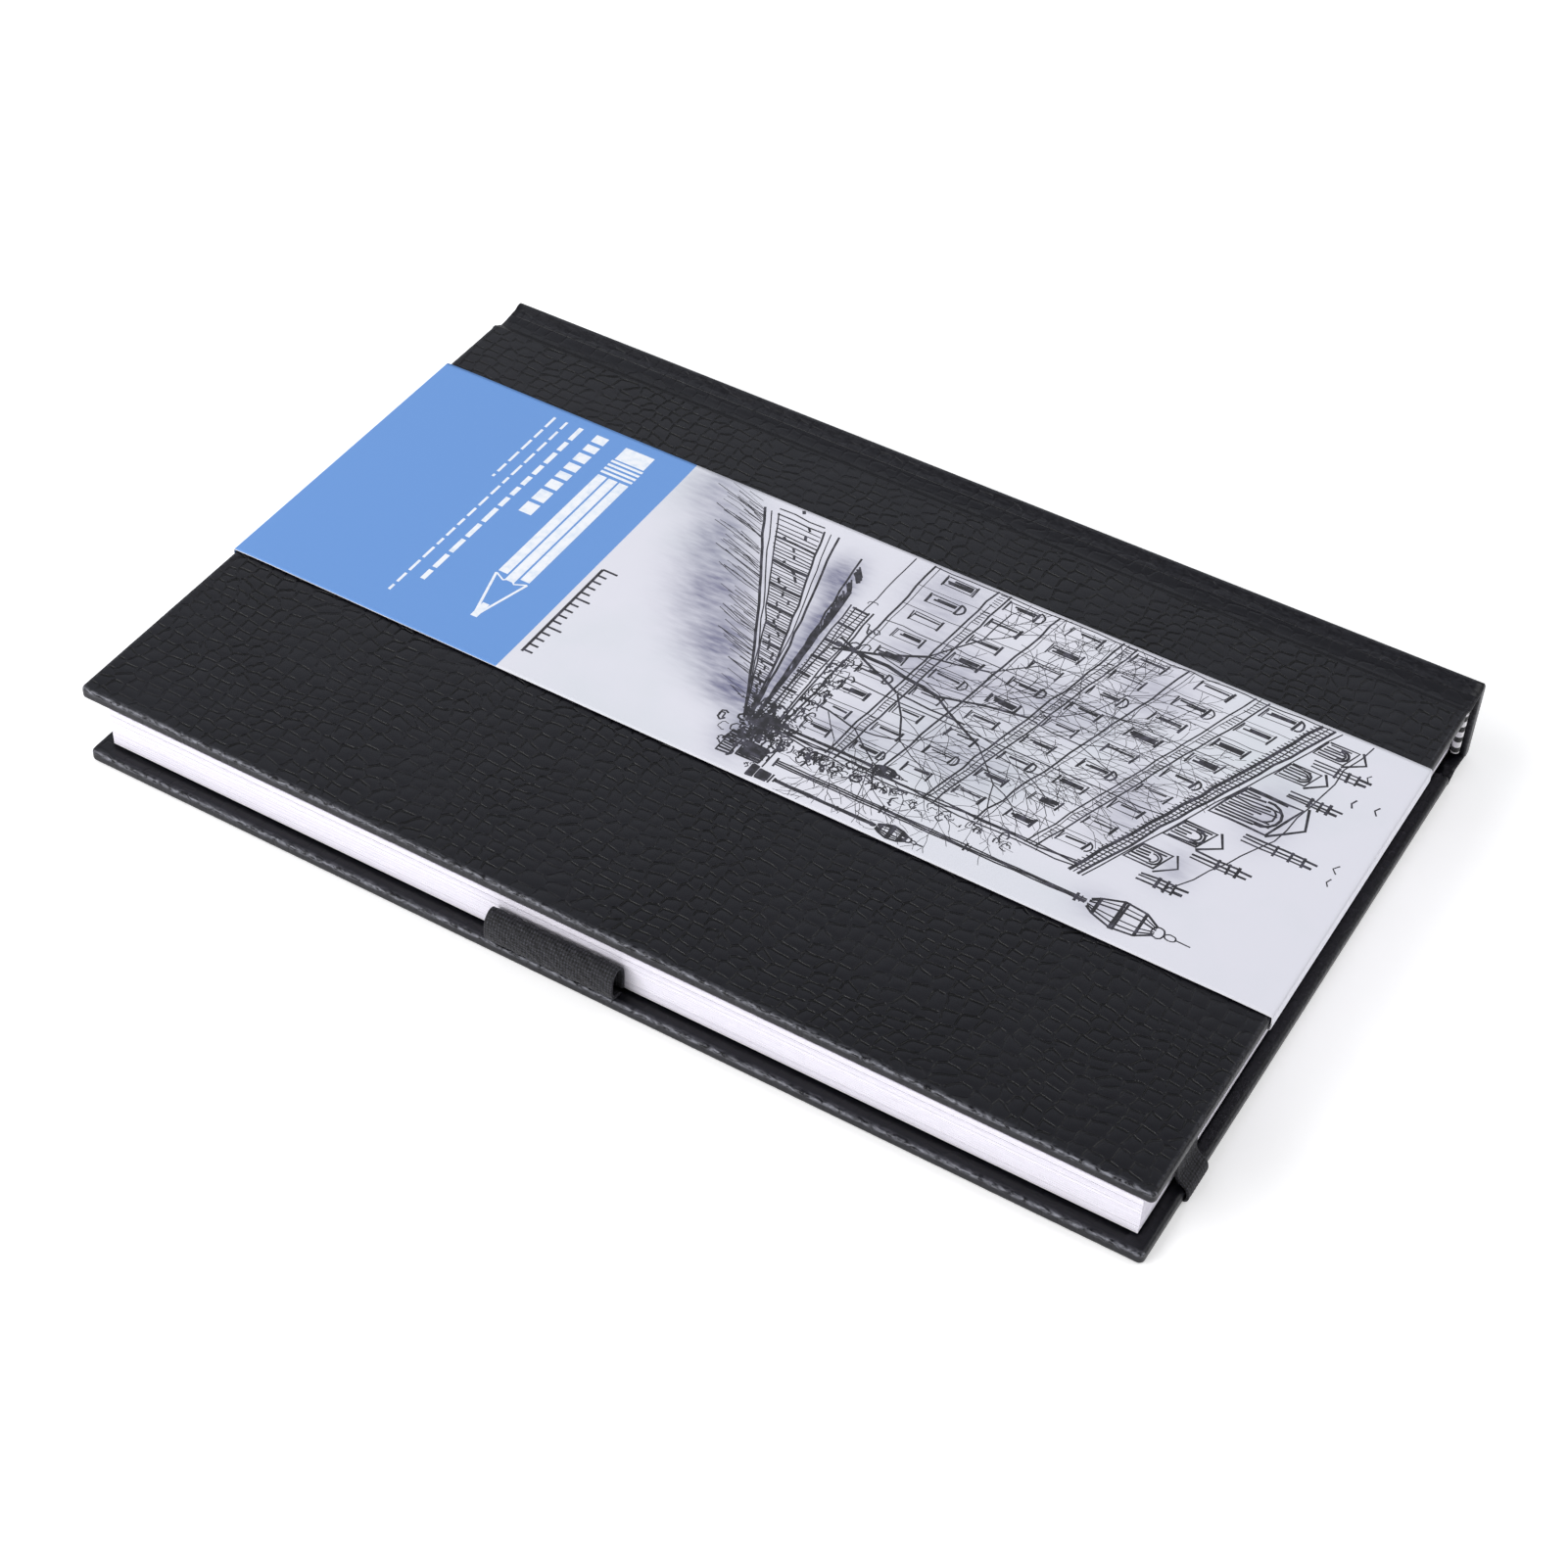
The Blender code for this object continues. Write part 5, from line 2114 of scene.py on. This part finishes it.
    def ink(
        self, name: str, strokes: Sequence[Stroke], material: Material, tree: MeshTree
    ) -> Object:
        """Lay strokes on the band as films of ink.

        Args:
            name: The piece's name.
            strokes: Lines in millimetres over the band, each with its width.
            material: The ink.
            tree: The tree that makes the films.

        Returns:
            The printed piece.
        """
        points: list[tuple[float, float, float]] = []
        edges: list[tuple[int, int]] = []
        pens: list[float] = []
        level = self.box.high.z + 0.006 * MM
        for line, weight in strokes:
            first = len(points)
            for u, v in line:
                y = self.box.low.y + v * MM
                x = self.box.low.x + u * MM + self.skew * y
                points.append((x, y, level))
            edges += [(first + k, first + k + 1) for k in range(len(line) - 1)]
            pens += [weight * MM / 2] * len(line)
        mesh = bpy.data.meshes.new(f"{name}_lines")
        mesh.from_pydata(points, edges, [])
        keep_numbers(mesh, "pen", pens)
        values = {"Level": level, "Film": self.film, "Material": material}
        piece = tree.run(as_object(f"{name}_lines", mesh), values, name)
        inked = points_of(piece.data)
        across = (inked[:, 0] - self.skew * inked[:, 1] - self.box.low.x) / MM
        inked[:, 2] += [self.edge_lift(float(u)) for u in across]
        piece.data.vertices.foreach_set("co", inked.ravel())
        piece.data.shade_flat()
        return piece

    def edge_lift(self, u: float) -> float:
        """Return how far the paper is lifted at a place across the band."""
        half = self.box.size.x / MM / 2
        return self.lift * abs((u - half) / half) ** 6

    def words(self) -> list[Stroke]:
        """Lay out the blue field's print: a pencil in outline, and rows of dashes in place of small type.

        Returns:
            Its strokes.
        """
        pen = random.Random(4)
        rows: list[Stroke] = []
        low, high = 47.2, 55.0
        middle = (low + high) / 2
        facet = (high - low) / 3
        for k in range(3):
            v = low + facet * (k + 0.5)
            rows.append(([(13.5, v), (49.5 + (1.6 if k == 1 else 0.0), v)], facet - 0.45))
        for sign in (-1, 1):
            rows.append(([(50.2, middle + sign * (facet * 1.5 - 0.25)), (62.6, middle + sign * 0.3)], 0.55))
        rows.append(([(59.0, middle), (63.4, middle)], 1.5))
        wood = [
            (50.2, low + 0.3), (51.4, middle - facet / 2), (50.4, middle), (51.4, middle + facet / 2),
            (50.2, high - 0.3),
        ]
        rows.append((wood, 0.4))
        for u in (8.4, 9.7, 11.0, 12.3):
            rows.append(([(u, low + 0.1), (u, high - 0.1)], 0.7))
        rows.append(([(3.2, middle), (7.6, middle)], high - low - 0.8))
        dashes = (
            (41.8, 33.0, 3.0, 3.4), (36.4, 60.0, 1.1, 4.4), (32.8, 66.0, 0.6, 3.4), (29.8, 26.0, 0.6, 3.4),
        )
        for v, stop, weight, length in dashes:
            u = 3.0
            while u < stop:
                run = length * pen.uniform(0.6, 1.15)
                rows.append(([(u, v), (min(u + run, stop), v)], weight))
                u += run + 1.0
        return rows

    def ruler(self) -> list[Stroke]:
        """Lay out the small ruler on the pale field: a base line with ticks.

        Returns:
            Its strokes.
        """
        left, base, gap = 38.0, 64.6, 2.0
        rows: list[Stroke] = [([(left, base), (66.6, base)], 0.62)]
        for tick in range(15):
            u = left + gap * tick
            tall = 3.4 if tick % 5 == 0 else 2.1
            rows.append(([(u, base), (u, base + tall)], 0.52))
        return rows

    def dress(self, finishes: Finishes) -> list[Object]:
        """Build the paper, the drawing, the ruler and the blue field's print.

        Args:
            finishes: The materials.

        Returns:
            The paper and the three prints.
        """
        sheet = self.sheet(finishes)
        tree = self.ink_tree()
        drawing = Sketch(self.box.size.x / MM, self.box.size.y / MM, self.field_top + 2).draw()
        printed = [
            self.ink("street_sketch_ink", drawing, finishes.black_ink, tree),
            self.ink("ruler_ink", self.ruler(), finishes.black_ink, tree),
            self.ink("pencil_print", self.words(), finishes.white_ink, tree),
        ]
        for piece in [sheet, *printed]:
            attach(piece, "belly_band")
        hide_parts("belly_band")
        return [sheet, *printed]


@dataclass
class Room:
    """The floor, the lights and the camera."""

    camera_place: tuple[float, float, float] = (0.38131, 0.20622, 0.41810)
    right: tuple[float, float, float] = (-0.50957, 0.85957, 0.03833)
    forward: tuple[float, float, float] = (-0.62693, -0.34041, -0.70077)
    lens: float = 70.84

    def floor(self) -> Object:
        """Lay the floor just under the book."""
        made = mesh_piece(
            "backdrop_floor",
            np.array([(x, y, -0.1 * MM) for x, y in ((-3, -3), (3, -3), (3, 3), (-3, 3))], float),
            [[0, 1, 2, 3]], Studio().build(),
        )
        if made.data.polygons[0].normal.z < 0:
            made.data.flip_normals()
        return made

    def light(
        self, name: str, place: Vector, size: tuple[float, float], power: float,
        colour: tuple[float, float, float] = (1.0, 1.0, 1.0),
    ) -> None:
        """Hang a soft box that faces the book.

        Args:
            name: The light's name.
            place: Where it hangs.
            size: Its width and height.
            power: Its power in watts.
            colour: Its colour.
        """
        lamp = bpy.data.lights.new(name, "AREA")
        lamp.shape = "RECTANGLE"
        lamp.size, lamp.size_y = size
        lamp.energy = power
        lamp.color = colour
        made = as_object(name, lamp)
        made.location = place
        made.rotation_mode = "QUATERNION"
        made.rotation_quaternion = (-place).to_track_quat("-Z", "Y")

    def camera(self) -> None:
        """Set the camera up at the viewing angle."""
        forward = Vector(self.forward).normalized()
        right = Vector(self.right)
        right = (right - forward * right.dot(forward)).normalized()
        up = right.cross(forward)
        turn = Matrix((right, up, -forward)).transposed()
        lens = bpy.data.cameras.new("studio_camera")
        lens.lens = self.lens
        lens.sensor_width = 36.0
        lens.clip_start = 0.01
        made = as_object("studio_camera", lens)
        made.matrix_world = Matrix.Translation(self.camera_place) @ turn.to_4x4()
        bpy.context.scene.camera = made

    def build(self) -> None:
        """Build the floor, the lights, the surrounding light and the camera."""
        self.floor()
        self.light("tail softbox", Vector((0.42, -0.73, 0.85)), (0.8, 0.8), 5.0)
        self.light("head softbox", Vector((-0.42, 0.73, 0.85)), (0.8, 0.8), 4.6)
        self.light("back panel", Vector((-0.90, -0.49, 0.80)), (1.3, 0.6), 2.4, (0.86, 0.90, 1.0))
        self.light("fore edge panel", Vector((1.02, -0.42, 0.25)), (0.8, 0.3), 0.8)
        self.light("rim strip", Vector((1.00, -0.46, 0.62)), (0.9, 0.2), 7.5)
        world = bpy.data.worlds.new("studio")
        world.use_nodes = True
        back = world.node_tree.nodes["Background"]
        back.inputs["Color"].default_value = WHITE
        back.inputs["Strength"].default_value = 0.28
        bpy.context.scene.world = world
        bpy.context.scene.view_settings.view_transform = "Standard"
        self.camera()


def report(group: str, pieces: Sequence[Object]) -> None:
    """Log each finished piece with its face count."""
    for piece in pieces:
        LOG.info("%s: %s, %d faces", group, piece.name, len(piece.data.polygons))


def main() -> None:
    """Build every piece of the sketchbook and the room round it."""
    logging.basicConfig(level=logging.INFO, format="%(name)s %(message)s")
    finishes = Finishes()
    press = emboss_tree(Leather())
    Room().build()
    for side in Side:
        report(f"{side.value} cover", Cover(side).dress(finishes, press))
    report("spine", Spine().dress(finishes, press))
    report("leaves", LeafBlock().dress(finishes))
    report("binding", Bindings().dress(finishes))
    report("strap", Strap().dress(finishes))
    report("pen loop", PenLoop().dress(finishes))
    report("belly band", BellyBand().dress(finishes))


if __name__ == "__main__":
    main()
